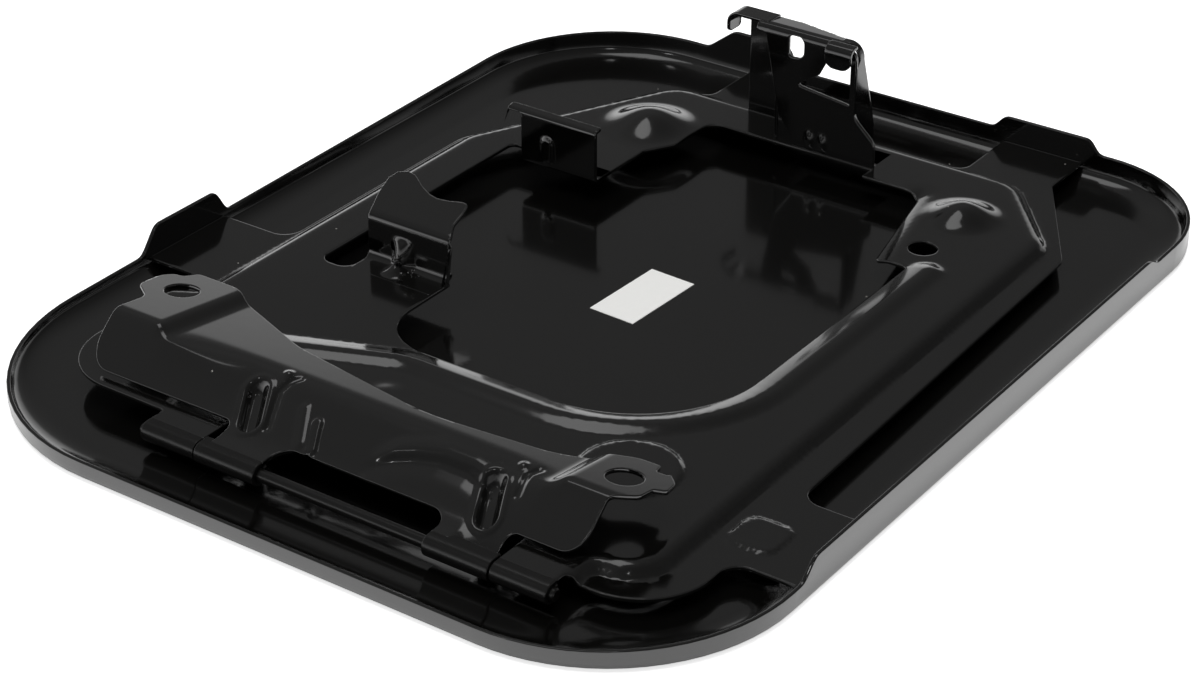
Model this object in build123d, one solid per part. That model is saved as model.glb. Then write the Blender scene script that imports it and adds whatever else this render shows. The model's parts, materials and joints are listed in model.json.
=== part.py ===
"""Car fuel door: a pressed outer skin with a stamped inner panel, hinged on a pin to a bracket with two bolt ears.

The door lies on its skin. X runs along the hinge side, Y from the hinge to the latch, Z up from the skin.
The origin is the middle of the skin's outer face. Lengths are in millimetres.
"""
from build123d import *
import os
from math import radians, tan

os.makedirs("parts", exist_ok=True)

# Sheet thicknesses
skin_t = 0.8
inner_t = 0.8
bracket_t = 0.9
label_t = 0.12

# Outer panel: plan size, corner radii and flange
door_width = 165.0
door_length = 207.0
corner_front_left = 42.0
corner_front_right = 37.0
corner_back_right = 27.5
corner_back_left = 34.0
skin_bend_r = 1.7
flange_front_h = 4.0
flange_back_h = 6.9
tab_corner_r = 1.5
left_tab_from = -43.1
left_tab_top_from = -38.2
left_tab_top_to = -20.8
left_tab_to = -17.3
left_tab_h = 10.3
right_rail_from = -64.1
right_rail_top_from = -60.0
right_rail_top_to = 64.3
right_rail_to = 71.5
right_rail_h = 8.0
rear_tab_a_from = -48.8
rear_tab_a_top_from = -38.2
rear_tab_a_top_to = -24.0
rear_tab_a_to = -19.8
rear_tab_a_h = 12.2
rear_tab_b_from = 25.2
rear_tab_b_top_from = 29.7
rear_tab_b_top_to = 50.1
rear_tab_b_to = 53.3
rear_tab_b_h = 9.9

# Inner panel: levels of the rim and of the raised field
rim_z = 4.3
field_z = 6.2
field_draft = 50.0
field_bend_r = 1.1

# Inner panel: plan of the rim
rim_left_x = -66.5
rim_right_back_x = 65.3
rim_right_front_x = 69.6
rim_front_y = -84.5
rim_back_y = 86.8
rim_corner_r = 14.0
rim_chamfer_left_y = 36.0
rim_chamfer_left_x = -43.5
rim_chamfer_right_y = 61.0
rim_chamfer_right_x = 50.0
weld_ear_r = 4.0
left_ear_from = -41.0
left_ear_to = -19.0
rear_ear_a_from = -33.0
rear_ear_a_to = -14.0
rear_ear_b_from = 30.0
rear_ear_b_to = 48.5
right_ear_from = -64.5
right_ear_to = -42.0

# Inner panel: plan of the raised field, at its foot
field_left_x = -64.0
field_right_x = 61.6
field_back_y = 84.4
field_front_y = -79.5
field_chamfer_left_y = 37.0
field_chamfer_left_x = -41.0
field_chamfer_right_y = 63.0
field_chamfer_right_x = 44.0
field_corner_r = 9.0
field_hinge_corner_r = 6.0
field_hinge_right_x = 53.0
field_hinge_left_y = -46.0

# Inner panel: window
window_left_x = -52.0
window_mid_x = -24.8
window_right_x = 43.4
window_front_y = -42.3
window_back_y = 71.0
window_front_left_r = 12.0
window_front_right_r = 27.0
window_corner_r = 3.0
window_latch_left_x = -23.5
dome_shelf_x = -27.4
dome_shelf_y = 57.5
relief_right_y = 38.2
relief_right_x = 36.0
latch_right_x = 29.6
latch_right_y = 67.4

# Inner panel: stiffening bead round the window's front and right edges
bead_width = 3.6
bead_h = 0.8
bead_margin = 2.6
bead_draft = 50.0
bead_left_x = -40.0
bead_left_y = -54.5

# Inner panel: domes, bosses and the round hole
dome_a_x = -33.5
dome_a_y = 62.5
dome_a_r = 11.0
dome_a_h = 3.4
dome_b_x = 42.0
dome_b_y = 62.8
dome_b_r = 8.8
dome_b_h = 3.0
mound_x = 53.5
mound_y = -69.0
mound_r = 9.5
mound_h = 1.8
boss_x = 41.2
boss_y = -53.5
boss_r = 9.8
boss_h = 0.7
pad_x = 69.0
pad_y = -55.5
pad_size = 8.5
pad_h = 0.7
drain_hole_x = 42.0
drain_hole_y = 46.6
drain_hole_d = 5.9

# Cap clips
clip_bend_r = 1.6
clip_relief = 6.5
clip_a_left_x = -44.6
clip_a_right_x = -25.2
clip_a_y = -18.4
clip_a_top_z = 15.6
clip_a_lip_back = 12.8
clip_a_lip_rise = 4.3
clip_a_left_lobe_x = -47.4
clip_a_left_lobe_back = 10.0
clip_a_tip_x = -43.2
clip_a_tip_back = 12.4
clip_a_hollow_x = -34.2
clip_a_hollow_back = 8.0
clip_a_hollow_r = 4.0
clip_a_right_lobe_x = -26.8
clip_a_right_lobe_back = 9.2
clip_a_lobe_r = 1.8
clip_a_dart_x = -36.2
clip_a_dart_r = 1.9
clip_a_dart_z = 10.2
clip_a_dart_foot = 3.2
clip_b_left_x = -46.2
clip_b_right_x = -27.4
clip_b_y = 34.4
clip_b_top_z = 17.0
clip_b_bend_r = 0.8
clip_b_lip_back = 1.4
clip_b_lip_rise = 0.3
clip_b_lip_reach = 3.4
clip_b_lip_h = 0.7
clip_b_relief = 4.0
clip_b_dart_x = -39.5
clip_b_dart_z = 9.7
clip_b_dart_width = 3.1
clip_b_dart_h = 5.9
clip_b_dart_depth = 0.5
clip_b_dart_draft = 35.0

# Latch striker
striker_y = 72.4
striker_top_z = 31.9
striker_bend_r = 1.4
striker_left_x = -10.9
striker_waist_left_x = -7.3
striker_right_x = 11.0
striker_shoulder_r = 3.2
striker_foot_left_x = -3.6
striker_foot_right_x = 16.0
striker_foot_z = 11.5
striker_waist_z = 12.5
striker_ankle_z = 7.2
striker_cap_left_x = -13.2
striker_cap_back_y = 76.4
striker_cap_h = 1.8
striker_hook_reach = 8.2
striker_hook_drop = 4.4
striker_hook_r = 2.2
striker_opening_right_z = 18.6
striker_opening_left_z = 20.1
striker_opening_top_z = 27.9
striker_slot_left_x = -5.4
striker_slot_right_x = -1.6
striker_slot_z = 25.9
striker_slot_top_z = 30.9
striker_opening_left_x = -3.2
striker_opening_right_x = 9.6
striker_tongue_x = 4.3
striker_tongue_tip_x = 2.1
striker_tongue_tip_z = 23.5
striker_slot_r = 0.8
striker_shoulder_z = 16.1
striker_side_foot_y = 80.4
striker_brace_y = 84.8
striker_brace_left_x = -22.3
striker_brace_h = 27.0

# Hinge: pin, knuckles and the places along X where the knuckles start
pin_d = 2.3
pin_end = 1.0
pin_y = -89.0
knuckle_run_clearance = 0.05
knuckle_side_gap = 0.3
knuckle_left_x = -37.5
knuckle_left_split_x = -25.0
knuckle_left_end_x = -11.5
knuckle_right_start_x = 25.2
knuckle_right_split_x = 39.0
knuckle_right_x = 50.4
hinge_notch_y = -77.0
hinge_notch_r = 3.0

# Hinge bracket: levels and folds of its section, and its plan
ear_z = 13.0
ear_lean = 8.5
ear_fold_y = -73.5
ear_slope = 41.4
ear_edge_y = -82.2
ear_step = 1.6
ear_step_run = 2.7
saddle_fold_y = -71.5
leg_low_y = -83.6
leg_low_z = 6.9
bracket_fold_r = 2.4
bracket_left_x = -63.6
bracket_shoulder_x = -58.8
bracket_right_x = 57.2
left_ear_flat_to_x = -48.1
right_ear_flat_from_x = 41.6
leg_left_x = -26.0
leg_right_x = 29.0
bracket_corner_r = 5.0
bracket_rear_left_y = -50.6
bracket_rear_right_y = -58.2
bracket_rear_mid_x = 8.0
bracket_rear_mid_y = -67.2
bolt_hole_d = 6.6
bolt_left_x = -55.9
bolt_left_y = -59.0
bolt_right_x = 48.8
bolt_right_y = -66.1
ear_root_x = -50.0
ear_root_r = 7.5
ear_tip_left_r = 6.5
ear_tip_right_r = 5.5
ear_neck_run = 7.9
ear_neck_r = 3.0
ear_lug_run = 3.2
ear_lug_r = 2.0
right_notch_depth = 2.4
right_notch_run = 4.1
right_shoulder_run = 2.0
right_corner_r = 4.0
rear_edge_left_y = -60.9
rear_edge_right_x = 33.0
rear_edge_right_y = -64.4
rear_edge_side_r = 20.0
rear_edge_mid_r = 40.0
dart_left_rear_x = -23.9
dart_left_front_x = -20.9
dart_right_rear_x = 30.4
dart_right_front_x = 31.6
dart_width = 4.4
dart_depth = 1.8
dart_lift = 0.5
dart_draft = 38.0
dart_rear_y = -75.6
dart_front_y = -81.6
web_front_y = -83.2
leg_arch_r = 3.5
leg_inset = 1.7

# Label
label_width = 10.3
label_length = 20.0
label_x = 2.7
label_y = 6.8
label_turn = -2.5

# Values that follow from the sizes above
half_width = door_width / 2
half_length = door_length / 2
knuckle_r = pin_d / 2 + inner_t
pin_z = field_z - knuckle_r
bracket_bore_r = pin_d / 2 + knuckle_run_clearance
bracket_knuckle_r = bracket_bore_r + bracket_t
bracket_leg_z = pin_z + bracket_knuckle_r
form_floor_z = -12.0
cut_past = 1.0
wall_inner_x = half_width - skin_t
wall_inner_y = half_length - skin_t


def plan_face(points, radius):
    """Flat face inside a closed run of straight lines with rounded corners."""
    return make_face(FilletPolyline(*points, radius=radius, close=True))


def plan_prism(points, radius, low, high):
    """Upright prism on a plan outline, from one height to another."""
    return extrude(Pos(0, 0, low) * plan_face(points, radius), amount=high - low)


def box_between(low, high):
    """Box given by two opposite corners."""
    size = [b - a for a, b in zip(low, high)]
    middle = [(a + b) / 2 for a, b in zip(low, high)]
    return Pos(*middle) * Box(*size)


def side_strip(points, radius, thickness, x_from, x_to):
    """Bent strip: a centre line in the YZ plane, given a thickness and drawn out along X."""
    profile = trace(FilletPolyline(*points, radius=radius), line_width=thickness)
    return extrude(Plane.YZ.offset(x_from) * profile, amount=x_to - x_from)


def front_prism(points, radius, y_from, y_to):
    """Prism on an outline in the XZ plane, from one Y to another."""
    return extrude(Plane.XZ.offset(-y_from) * plan_face(points, radius), amount=y_from - y_to)


def side_prism(points, radius, x_from, x_to):
    """Prism on an outline in the YZ plane, from one X to another."""
    return extrude(Plane.YZ.offset(x_from) * plan_face(points, radius), amount=x_to - x_from)


def spherical_cap(x, y, z, rim_r, height):
    """Ball whose top stands as a cap of the given rim radius and height on a level."""
    ball_r = (rim_r ** 2 + height ** 2) / (2 * height)
    return Pos(x, y, z + height - ball_r) * Sphere(ball_r)


def pressed_sheet(form, thickness):
    """Sheet pressed over a form: the form less itself moved down by the thickness."""
    return form - Pos(0, 0, -thickness) * form


def tab_points(start, top_start, top_end, end, height):
    """Outline of a raised stretch of flange with sloping ends that rise from inside the low flange."""
    foot = flange_front_h
    return [(start, 0), (start, foot), (top_start, height), (top_end, height), (end, foot), (end, 0)]


def make_outer_panel():
    """Skin with a flange of changing height and four raised stretches."""
    corners = [(-half_width, -half_length), (half_width, -half_length),
               (half_width, half_length), (-half_width, half_length)]
    radii = [corner_front_left, corner_front_right, corner_back_right, corner_back_left]
    tallest = max(left_tab_h, right_rail_h, rear_tab_a_h, rear_tab_b_h) + cut_past
    block = plan_prism(corners, radii, 0, tallest)
    block = fillet(block.edges().group_by(Axis.Z)[0], skin_bend_r)
    inner_corners = [(x - skin_t * (1 if x > 0 else -1), y - skin_t * (1 if y > 0 else -1)) for x, y in corners]
    inner_radii = [r - skin_t for r in radii]
    hollow = plan_prism(inner_corners, inner_radii, skin_t, tallest + cut_past)
    hollow = chamfer(hollow.edges().group_by(Axis.Z)[0], (skin_bend_r - skin_t) / 2)
    tray = block - hollow
    past_x = half_width + cut_past
    past_y = half_length + cut_past
    slope = [(-past_y, -cut_past), (past_y, -cut_past), (past_y, flange_back_h), (-past_y, flange_front_h)]
    keep = side_prism(slope, 0, -past_x, past_x)
    corner_r = [0, 0, tab_corner_r, tab_corner_r, 0, 0]
    wall_zone = corner_back_right / 4
    left_tab = tab_points(left_tab_from, left_tab_top_from, left_tab_top_to, left_tab_to, left_tab_h)
    keep += side_prism(left_tab, corner_r, -past_x, -half_width + wall_zone)
    right_rail = tab_points(right_rail_from, right_rail_top_from, right_rail_top_to, right_rail_to, right_rail_h)
    keep += side_prism(right_rail, corner_r, half_width - wall_zone, past_x)
    rear_tab_a = tab_points(rear_tab_a_from, rear_tab_a_top_from, rear_tab_a_top_to, rear_tab_a_to, rear_tab_a_h)
    rear_tab_b = tab_points(rear_tab_b_from, rear_tab_b_top_from, rear_tab_b_top_to, rear_tab_b_to, rear_tab_b_h)
    for outline in (rear_tab_a, rear_tab_b):
        keep += front_prism(outline, corner_r, half_length - wall_zone, past_y)
    return tray & keep


def rim_face():
    """Plan of the inner panel with its four weld ears, which end on the inside of the flange."""
    points = [(rim_left_x, rim_front_y), (rim_right_front_x, rim_front_y),
              (rim_right_back_x, rim_chamfer_right_y), (rim_chamfer_right_x, rim_back_y),
              (rim_chamfer_left_x, rim_back_y), (rim_left_x, rim_chamfer_left_y)]
    corner_r = [rim_corner_r, rim_corner_r, weld_ear_r, weld_ear_r, rim_corner_r, rim_corner_r]
    face = plan_face(points, corner_r)
    ear_roots = [
        [(-wall_inner_x, left_ear_from), (rim_left_x + weld_ear_r, left_ear_from),
         (rim_left_x + weld_ear_r, left_ear_to), (-wall_inner_x, left_ear_to)],
        [(rim_right_back_x - weld_ear_r, right_ear_from), (wall_inner_x, right_ear_from),
         (wall_inner_x, right_ear_to), (rim_right_back_x - weld_ear_r, right_ear_to)],
    ]
    for start, end in ((rear_ear_a_from, rear_ear_a_to), (rear_ear_b_from, rear_ear_b_to)):
        ear_roots.append([(start, rim_back_y - weld_ear_r), (end, rim_back_y - weld_ear_r),
                          (end, wall_inner_y), (start, wall_inner_y)])
    for root in ear_roots:
        face += plan_face(root, 0)
    return face


def window_face():
    """Plan of the window, with the reliefs beside the two clips and the striker."""
    points = [
        (window_left_x, clip_a_y - clip_relief), (clip_a_left_x, clip_a_y - clip_relief),
        (clip_a_left_x, clip_a_y), (window_mid_x, clip_a_y),
        (window_mid_x, window_front_y), (window_right_x, window_front_y),
        (window_right_x, relief_right_y), (relief_right_x, relief_right_y),
        (latch_right_x, latch_right_y), (striker_foot_right_x, latch_right_y),
        (striker_foot_right_x, window_back_y), (window_latch_left_x, window_back_y),
        (window_latch_left_x, dome_shelf_y), (dome_shelf_x, dome_shelf_y - window_corner_r * 2),
        (dome_shelf_x, clip_b_y), (clip_b_left_x, clip_b_y),
        (clip_b_left_x, clip_b_y + clip_b_relief), (window_left_x, clip_b_y + clip_b_relief),
    ]
    radii = [window_corner_r, window_corner_r, 0, 0, window_front_left_r, window_front_right_r,
             window_corner_r / 2, window_corner_r / 2, window_corner_r, 0,
             0, window_corner_r, window_corner_r, window_corner_r, 0, 0, window_corner_r / 2, window_corner_r / 2]
    return plan_face(points, radii)


def field_form():
    """Solid under the inner panel's upper face: rim level, raised field, bead, domes, boss and pad."""
    reach = half_width + half_length
    form = box_between((-reach, -reach, form_floor_z), (reach, reach, rim_z))
    past_front = rim_front_y - rim_corner_r
    past_left = rim_left_x - rim_corner_r
    foot = [(past_left, past_front), (field_hinge_right_x, past_front), (field_hinge_right_x, field_front_y),
            (field_right_x, field_front_y), (field_right_x, field_chamfer_right_y),
            (field_chamfer_right_x, field_back_y), (field_chamfer_left_x, field_back_y),
            (field_left_x, field_chamfer_left_y), (field_left_x, field_hinge_left_y),
            (past_left, field_hinge_left_y - field_corner_r)]
    radii = [field_corner_r, field_corner_r, field_bend_r, field_hinge_corner_r, field_corner_r,
             field_corner_r, field_corner_r, field_corner_r, field_bend_r, field_corner_r]
    field = extrude(Pos(0, 0, rim_z) * plan_face(foot, radii), amount=field_z - rim_z, taper=field_draft)
    field = fillet(field.edges().group_by(Axis.Z)[-1], field_bend_r)
    form += field
    bead_line = FilletPolyline(
        (bead_left_x, bead_left_y), (window_mid_x, window_front_y - bead_margin),
        (window_right_x + bead_margin, window_front_y - bead_margin), (window_right_x + bead_margin, relief_right_y),
        radius=[window_front_left_r, window_front_right_r + bead_margin])
    bead_plan = trace(bead_line, line_width=bead_width)
    form += extrude(Pos(0, 0, field_z) * bead_plan, amount=bead_h, taper=bead_draft)
    for x, y, rim_r, height in ((dome_a_x, dome_a_y, dome_a_r, dome_a_h), (dome_b_x, dome_b_y, dome_b_r, dome_b_h),
                                (mound_x, mound_y, mound_r, mound_h)):
        form += spherical_cap(x, y, field_z, rim_r, height)
    form += Pos(boss_x, boss_y, field_z) * Cone(boss_r, boss_r - boss_h, boss_h,
                                               align=(Align.CENTER, Align.CENTER, Align.MIN))
    pad_foot = Pos(pad_x, pad_y, rim_z) * RectangleRounded(pad_size, pad_size, pad_size / 4)
    pad_top_size = pad_size - 2 * pad_h
    pad_top = Pos(pad_x, pad_y, rim_z + pad_h) * RectangleRounded(pad_top_size, pad_top_size, pad_size / 5)
    form += loft([pad_foot, pad_top], ruled=True)
    return form


def make_clip_a():
    """Front cap clip: stands up from the field on its rear side and ends in a broad lobed lip leaning back."""
    middle = inner_t / 2
    line = [(clip_a_y - clip_relief, field_z - middle), (clip_a_y + middle, field_z - middle),
            (clip_a_y + middle, clip_a_top_z), (clip_a_y + clip_a_lip_back, clip_a_top_z + clip_a_lip_rise)]
    strip = side_strip(line, clip_bend_r, inner_t, clip_a_left_lobe_x, clip_a_right_x)
    plate_back = clip_a_y + inner_t
    before = clip_a_y - clip_relief - cut_past
    outline = [(clip_a_left_x, before), (clip_a_right_x, before), (clip_a_right_x, plate_back),
               (clip_a_right_lobe_x, clip_a_y + clip_a_right_lobe_back),
               (clip_a_hollow_x, clip_a_y + clip_a_hollow_back), (clip_a_tip_x, clip_a_y + clip_a_tip_back),
               (clip_a_left_lobe_x, clip_a_y + clip_a_left_lobe_back), (clip_a_left_x, plate_back)]
    radii = [0, 0, 0, clip_a_lobe_r, clip_a_hollow_r, clip_a_lobe_r, clip_a_lobe_r, 0]
    strip &= plan_prism(outline, radii, 0, clip_a_top_z + clip_a_lip_rise + cut_past)
    dart_line = Line((clip_a_y + middle, clip_a_dart_z), (clip_a_y - clip_a_dart_foot, field_z - middle))
    path = Plane.YZ.offset(clip_a_dart_x) * dart_line
    dart = sweep(Plane(path @ 0, z_dir=path % 0) * Circle(clip_a_dart_r), path=path)
    for end in (path @ 0, path @ 1):
        dart += Pos(*end) * Sphere(clip_a_dart_r)
    past_lip = clip_a_y + clip_a_lip_back
    dart -= box_between((clip_a_left_x, plate_back, 0), (clip_a_right_x, past_lip, clip_a_top_z))
    dart -= box_between((clip_a_left_x, before - clip_relief, 0), (clip_a_right_x, past_lip, field_z - inner_t))
    return strip + dart


def make_clip_b():
    """Rear cap clip: stands up at the field's edge, with an oval emboss and a narrow lip that reaches past one side."""
    middle = inner_t / 2
    line = [(clip_b_y + clip_relief, field_z - middle), (clip_b_y - middle, field_z - middle),
            (clip_b_y - middle, clip_b_top_z - clip_b_lip_rise), (clip_b_y + clip_b_lip_back, clip_b_top_z)]
    lip_end_x = clip_b_left_x - clip_b_lip_reach
    lip_low_z = clip_b_top_z - clip_b_lip_h
    past_top = clip_b_top_z + clip_relief
    strip = side_strip(line, clip_b_bend_r, inner_t, lip_end_x, clip_b_right_x)
    outline = [(clip_b_left_x, 0), (clip_b_right_x, 0), (clip_b_right_x, past_top), (lip_end_x, past_top),
               (lip_end_x, lip_low_z), (clip_b_left_x, lip_low_z)]
    strip &= front_prism(outline, 0, clip_b_y - clip_relief, clip_b_y + clip_relief * 2)
    oval = Pos(clip_b_dart_x, clip_b_dart_z) * SlotOverall(clip_b_dart_h, clip_b_dart_width, rotation=90)
    front = Plane.XZ.offset(middle - clip_b_y)
    emboss = extrude(front * oval, amount=middle + clip_b_dart_depth, taper=clip_b_dart_draft)
    return strip + emboss


def make_striker():
    """Latch striker: an upright plate with two openings under a bent-back cap, braced on both sides."""
    middle = inner_t / 2
    front = striker_y - inner_t
    cap_z = striker_top_z - middle
    line = [(striker_brace_y - clip_relief, field_z - middle), (front + middle, field_z - middle),
            (front + middle, cap_z), (striker_cap_back_y, cap_z)]
    strip = side_strip(line, striker_bend_r, inner_t, striker_cap_left_x, striker_foot_right_x)
    cap_low = striker_top_z - striker_cap_h
    outline = [(striker_foot_left_x, 0), (striker_foot_right_x, 0), (striker_foot_right_x, striker_foot_z),
               (striker_right_x, striker_shoulder_z), (striker_right_x, striker_top_z),
               (striker_cap_left_x, striker_top_z), (striker_cap_left_x, cap_low),
               (striker_left_x, cap_low), (striker_waist_left_x, striker_waist_z),
               (striker_foot_left_x, striker_ankle_z)]
    corner_r = striker_bend_r
    radii = [0, 0, corner_r, corner_r, striker_shoulder_r, 0, 0, 0, corner_r, 0]
    plate = strip & front_prism(outline, radii, front - cut_past, striker_brace_y)
    opening = [(striker_tongue_x, striker_opening_top_z), (striker_opening_right_x, striker_opening_top_z),
               (striker_opening_right_x, striker_opening_right_z), (striker_opening_left_x, striker_opening_left_z),
               (striker_tongue_tip_x, striker_tongue_tip_z)]
    slot = [(striker_slot_left_x, striker_slot_z), (striker_slot_right_x, striker_slot_z),
            (striker_slot_right_x, striker_slot_top_z), (striker_slot_left_x, striker_slot_top_z)]
    plate -= front_prism(opening, middle, front - cut_past, striker_y + cut_past)
    plate -= front_prism(slot, striker_slot_r, front - cut_past, striker_y + cut_past)
    side_x = striker_right_x - middle
    side_line = [(striker_slot_left_x, cap_z), (side_x, cap_z), (side_x, field_z)]
    side = trace(FilletPolyline(*side_line, radius=striker_shoulder_r - middle), line_width=inner_t)
    side_wall = extrude(Plane.XZ.offset(-striker_y) * side, amount=striker_y - striker_side_foot_y)
    side_outline = [(striker_y, field_z), (striker_side_foot_y, field_z), (striker_side_foot_y, striker_foot_z),
                    (striker_cap_back_y, cap_z - striker_shoulder_r), (striker_cap_back_y, striker_top_z),
                    (striker_y, striker_top_z)]
    plate += side_wall & side_prism(side_outline, 0, striker_left_x, striker_right_x)
    brace_x = striker_waist_left_x - inner_t
    brace_line = [(brace_x, striker_y - middle), (brace_x, striker_brace_y - middle),
                  (striker_brace_left_x, striker_brace_y - middle)]
    brace = trace(FilletPolyline(*brace_line, radius=striker_bend_r), line_width=inner_t)
    plate += extrude(Pos(0, 0, rim_z) * brace, amount=striker_brace_h - rim_z)
    hook_line = [(striker_left_x, cap_z), (striker_cap_left_x - striker_hook_reach + middle, cap_z),
                 (striker_cap_left_x - striker_hook_reach, cap_z - striker_hook_drop)]
    hook = trace(FilletPolyline(*hook_line, radius=striker_hook_r), line_width=inner_t)
    hook_from = striker_y + striker_bend_r
    plate += extrude(Plane.XZ.offset(-hook_from) * hook, amount=hook_from - striker_cap_back_y)
    return plate


def knuckle(x_from, x_to, outer_r, strap_y, strap_t, strap_top_z):
    """Rolled knuckle: a tube on the pin line and the strap that runs into it from behind, without its bore."""
    tube = extrude(Plane.YZ.offset(x_from) * Pos(pin_y, pin_z) * Circle(outer_r), amount=x_to - x_from)
    strap = box_between((x_from, pin_y, strap_top_z - strap_t), (x_to, strap_y, strap_top_z))
    return tube + strap


def pin_bore(radius):
    """Round cutter along the whole pin line."""
    return extrude(Plane.YZ.offset(-half_width) * Pos(pin_y, pin_z) * Circle(radius), amount=door_width)


def make_inner_panel():
    """Stamped panel with its window, clips, striker and the two outer knuckles."""
    panel = pressed_sheet(field_form(), inner_t) & extrude(rim_face(), amount=ear_z)
    panel -= extrude(window_face(), amount=ear_z)
    notch_left_x = knuckle_left_split_x - knuckle_side_gap
    past_front = rim_front_y - cut_past
    notch = [(notch_left_x, past_front), (knuckle_right_split_x, past_front),
             (knuckle_right_split_x, hinge_notch_y), (notch_left_x, hinge_notch_y)]
    panel -= plan_prism(notch, [0, 0, hinge_notch_r, hinge_notch_r], 0, ear_z)
    panel -= Pos(drain_hole_x, drain_hole_y, field_z) * Cylinder(drain_hole_d / 2, field_z)
    panel += make_clip_a()
    panel += make_clip_b()
    panel += make_striker()
    strap_y = rim_front_y + rim_corner_r / 4
    panel += knuckle(knuckle_left_x, knuckle_left_split_x - knuckle_side_gap, knuckle_r, strap_y, inner_t, field_z)
    panel += knuckle(knuckle_right_split_x, knuckle_right_x, knuckle_r, strap_y, inner_t, field_z)
    return panel - pin_bore(pin_d / 2)


def ear_plane(y):
    """Height of the plane of both ears, which leans down to the rear."""
    return ear_z - (y - bolt_left_y) * tan(radians(ear_lean))


def bracket_section(x, drop, fold_y, low_y, low_z):
    """Section of the bracket's form at X: a rear flange at a drop below the ears' plane, a fold, the sloping web and
    the strap to the knuckles."""
    past_rear = bracket_rear_left_y + ear_root_r
    past_front = pin_y - bracket_knuckle_r
    points = [(past_front, form_floor_z), (past_rear, form_floor_z), (past_rear, ear_plane(past_rear) - drop),
              (fold_y, ear_plane(fold_y) - drop), (low_y, low_z), (past_front, min(low_z, bracket_leg_z))]
    return Plane.YZ.offset(x) * plan_face(points, [0, 0, 0, bracket_fold_r, bracket_fold_r, 0])


def bracket_form():
    """Solid under the bracket's upper face: two ears in one plane, a saddle one step below it, and two darts."""
    slope = tan(radians(ear_slope))
    ear_low_y = pin_y + bracket_knuckle_r
    ear_low_z = ear_plane(ear_fold_y) + (ear_low_y - ear_fold_y) * slope
    step_fold_y = ear_fold_y - ear_step / (slope + tan(radians(ear_lean)))
    ear = (0, ear_fold_y, ear_low_y, ear_low_z)
    stepped = (ear_step, step_fold_y, ear_low_y, ear_low_z)
    saddle = (ear_step, saddle_fold_y, leg_low_y, leg_low_z)
    stations = [(bracket_left_x - cut_past, ear), (left_ear_flat_to_x, ear),
                (left_ear_flat_to_x + ear_step_run, stepped), (leg_left_x, saddle), (leg_right_x, saddle),
                (right_ear_flat_from_x - ear_step_run, stepped), (right_ear_flat_from_x, ear),
                (bracket_right_x + cut_past, ear)]
    form = loft([bracket_section(x, *levels) for x, levels in stations], ruled=True)
    saddle_fold_z = ear_plane(saddle_fold_y) - ear_step
    web_slope = (saddle_fold_z - leg_low_z) / (saddle_fold_y - leg_low_y)
    for rear_x, front_x in ((dart_left_rear_x, dart_left_front_x), (dart_right_rear_x, dart_right_front_x)):
        rear = Vector(rear_x, dart_rear_y, saddle_fold_z + (dart_rear_y - saddle_fold_y) * web_slope)
        front = Vector(front_x, dart_front_y, saddle_fold_z + (dart_front_y - saddle_fold_y) * web_slope)
        run = front - rear
        down = run.cross(Vector(0, 0, 1)).cross(run) * -1
        mouth = Plane(origin=(rear + front) / 2, x_dir=run, z_dir=down).offset(-dart_lift)
        slot = SlotCenterToCenter(run.length, dart_width)
        form -= extrude(mouth * slot, amount=dart_lift + dart_depth, taper=dart_draft)
    return form


def bracket_plan():
    """Plan of the bracket: two rounded ears, a curved rear edge and legs that reach the pin."""
    right_end_x = bolt_right_x + right_shoulder_run
    leg_right_end_x = knuckle_right_split_x - knuckle_side_gap - leg_inset
    leg_left_end_x = knuckle_left_split_x + leg_inset
    points = [
        (bracket_shoulder_x, ear_edge_y), (bracket_shoulder_x, ear_fold_y + ear_neck_run),
        (bracket_left_x, bolt_left_y - ear_lug_run), (bracket_left_x, bracket_rear_left_y),
        (ear_root_x, bracket_rear_left_y), (leg_left_x, rear_edge_left_y),
        (bracket_rear_mid_x, bracket_rear_mid_y), (rear_edge_right_x, rear_edge_right_y),
        (bolt_right_x, bracket_rear_right_y), (bracket_right_x, bolt_right_y + ear_lug_run),
        (bracket_right_x - right_notch_depth, bolt_right_y - right_notch_run),
        (right_end_x, ear_fold_y), (right_end_x, ear_edge_y),
        (leg_right_end_x, ear_edge_y), (leg_right_end_x, pin_y), (knuckle_right_start_x, pin_y),
        (knuckle_right_start_x, web_front_y), (knuckle_left_end_x, web_front_y),
        (knuckle_left_end_x, pin_y), (leg_left_end_x, pin_y), (leg_left_end_x, ear_edge_y),
    ]
    radii = [bracket_corner_r, ear_neck_r, ear_lug_r, ear_tip_left_r, ear_root_r, rear_edge_side_r, rear_edge_mid_r,
             rear_edge_side_r, ear_tip_right_r, ear_lug_r, ear_lug_r, ear_lug_r, right_corner_r, leg_inset, 0, 0,
             leg_arch_r, leg_arch_r, 0, 0, leg_inset]
    return plan_face(points, radii)


def make_hinge_bracket():
    """Pressed bracket with two bolt ears and the two inner knuckles."""
    bracket = pressed_sheet(bracket_form(), bracket_t)
    bracket &= extrude(bracket_plan(), amount=ear_z * 2)
    for x, y in ((bolt_left_x, bolt_left_y), (bolt_right_x, bolt_right_y)):
        bracket -= Pos(x, y, ear_plane(y)) * Rot(-ear_lean, 0, 0) * Cylinder(bolt_hole_d / 2, ear_z)
    for x_from, x_to in ((knuckle_left_split_x, knuckle_left_end_x),
                         (knuckle_right_start_x, knuckle_right_split_x - knuckle_side_gap)):
        bracket += extrude(Plane.YZ.offset(x_from) * Pos(pin_y, pin_z) * Circle(bracket_knuckle_r),
                           amount=x_to - x_from)
    return bracket - pin_bore(bracket_bore_r)


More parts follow.
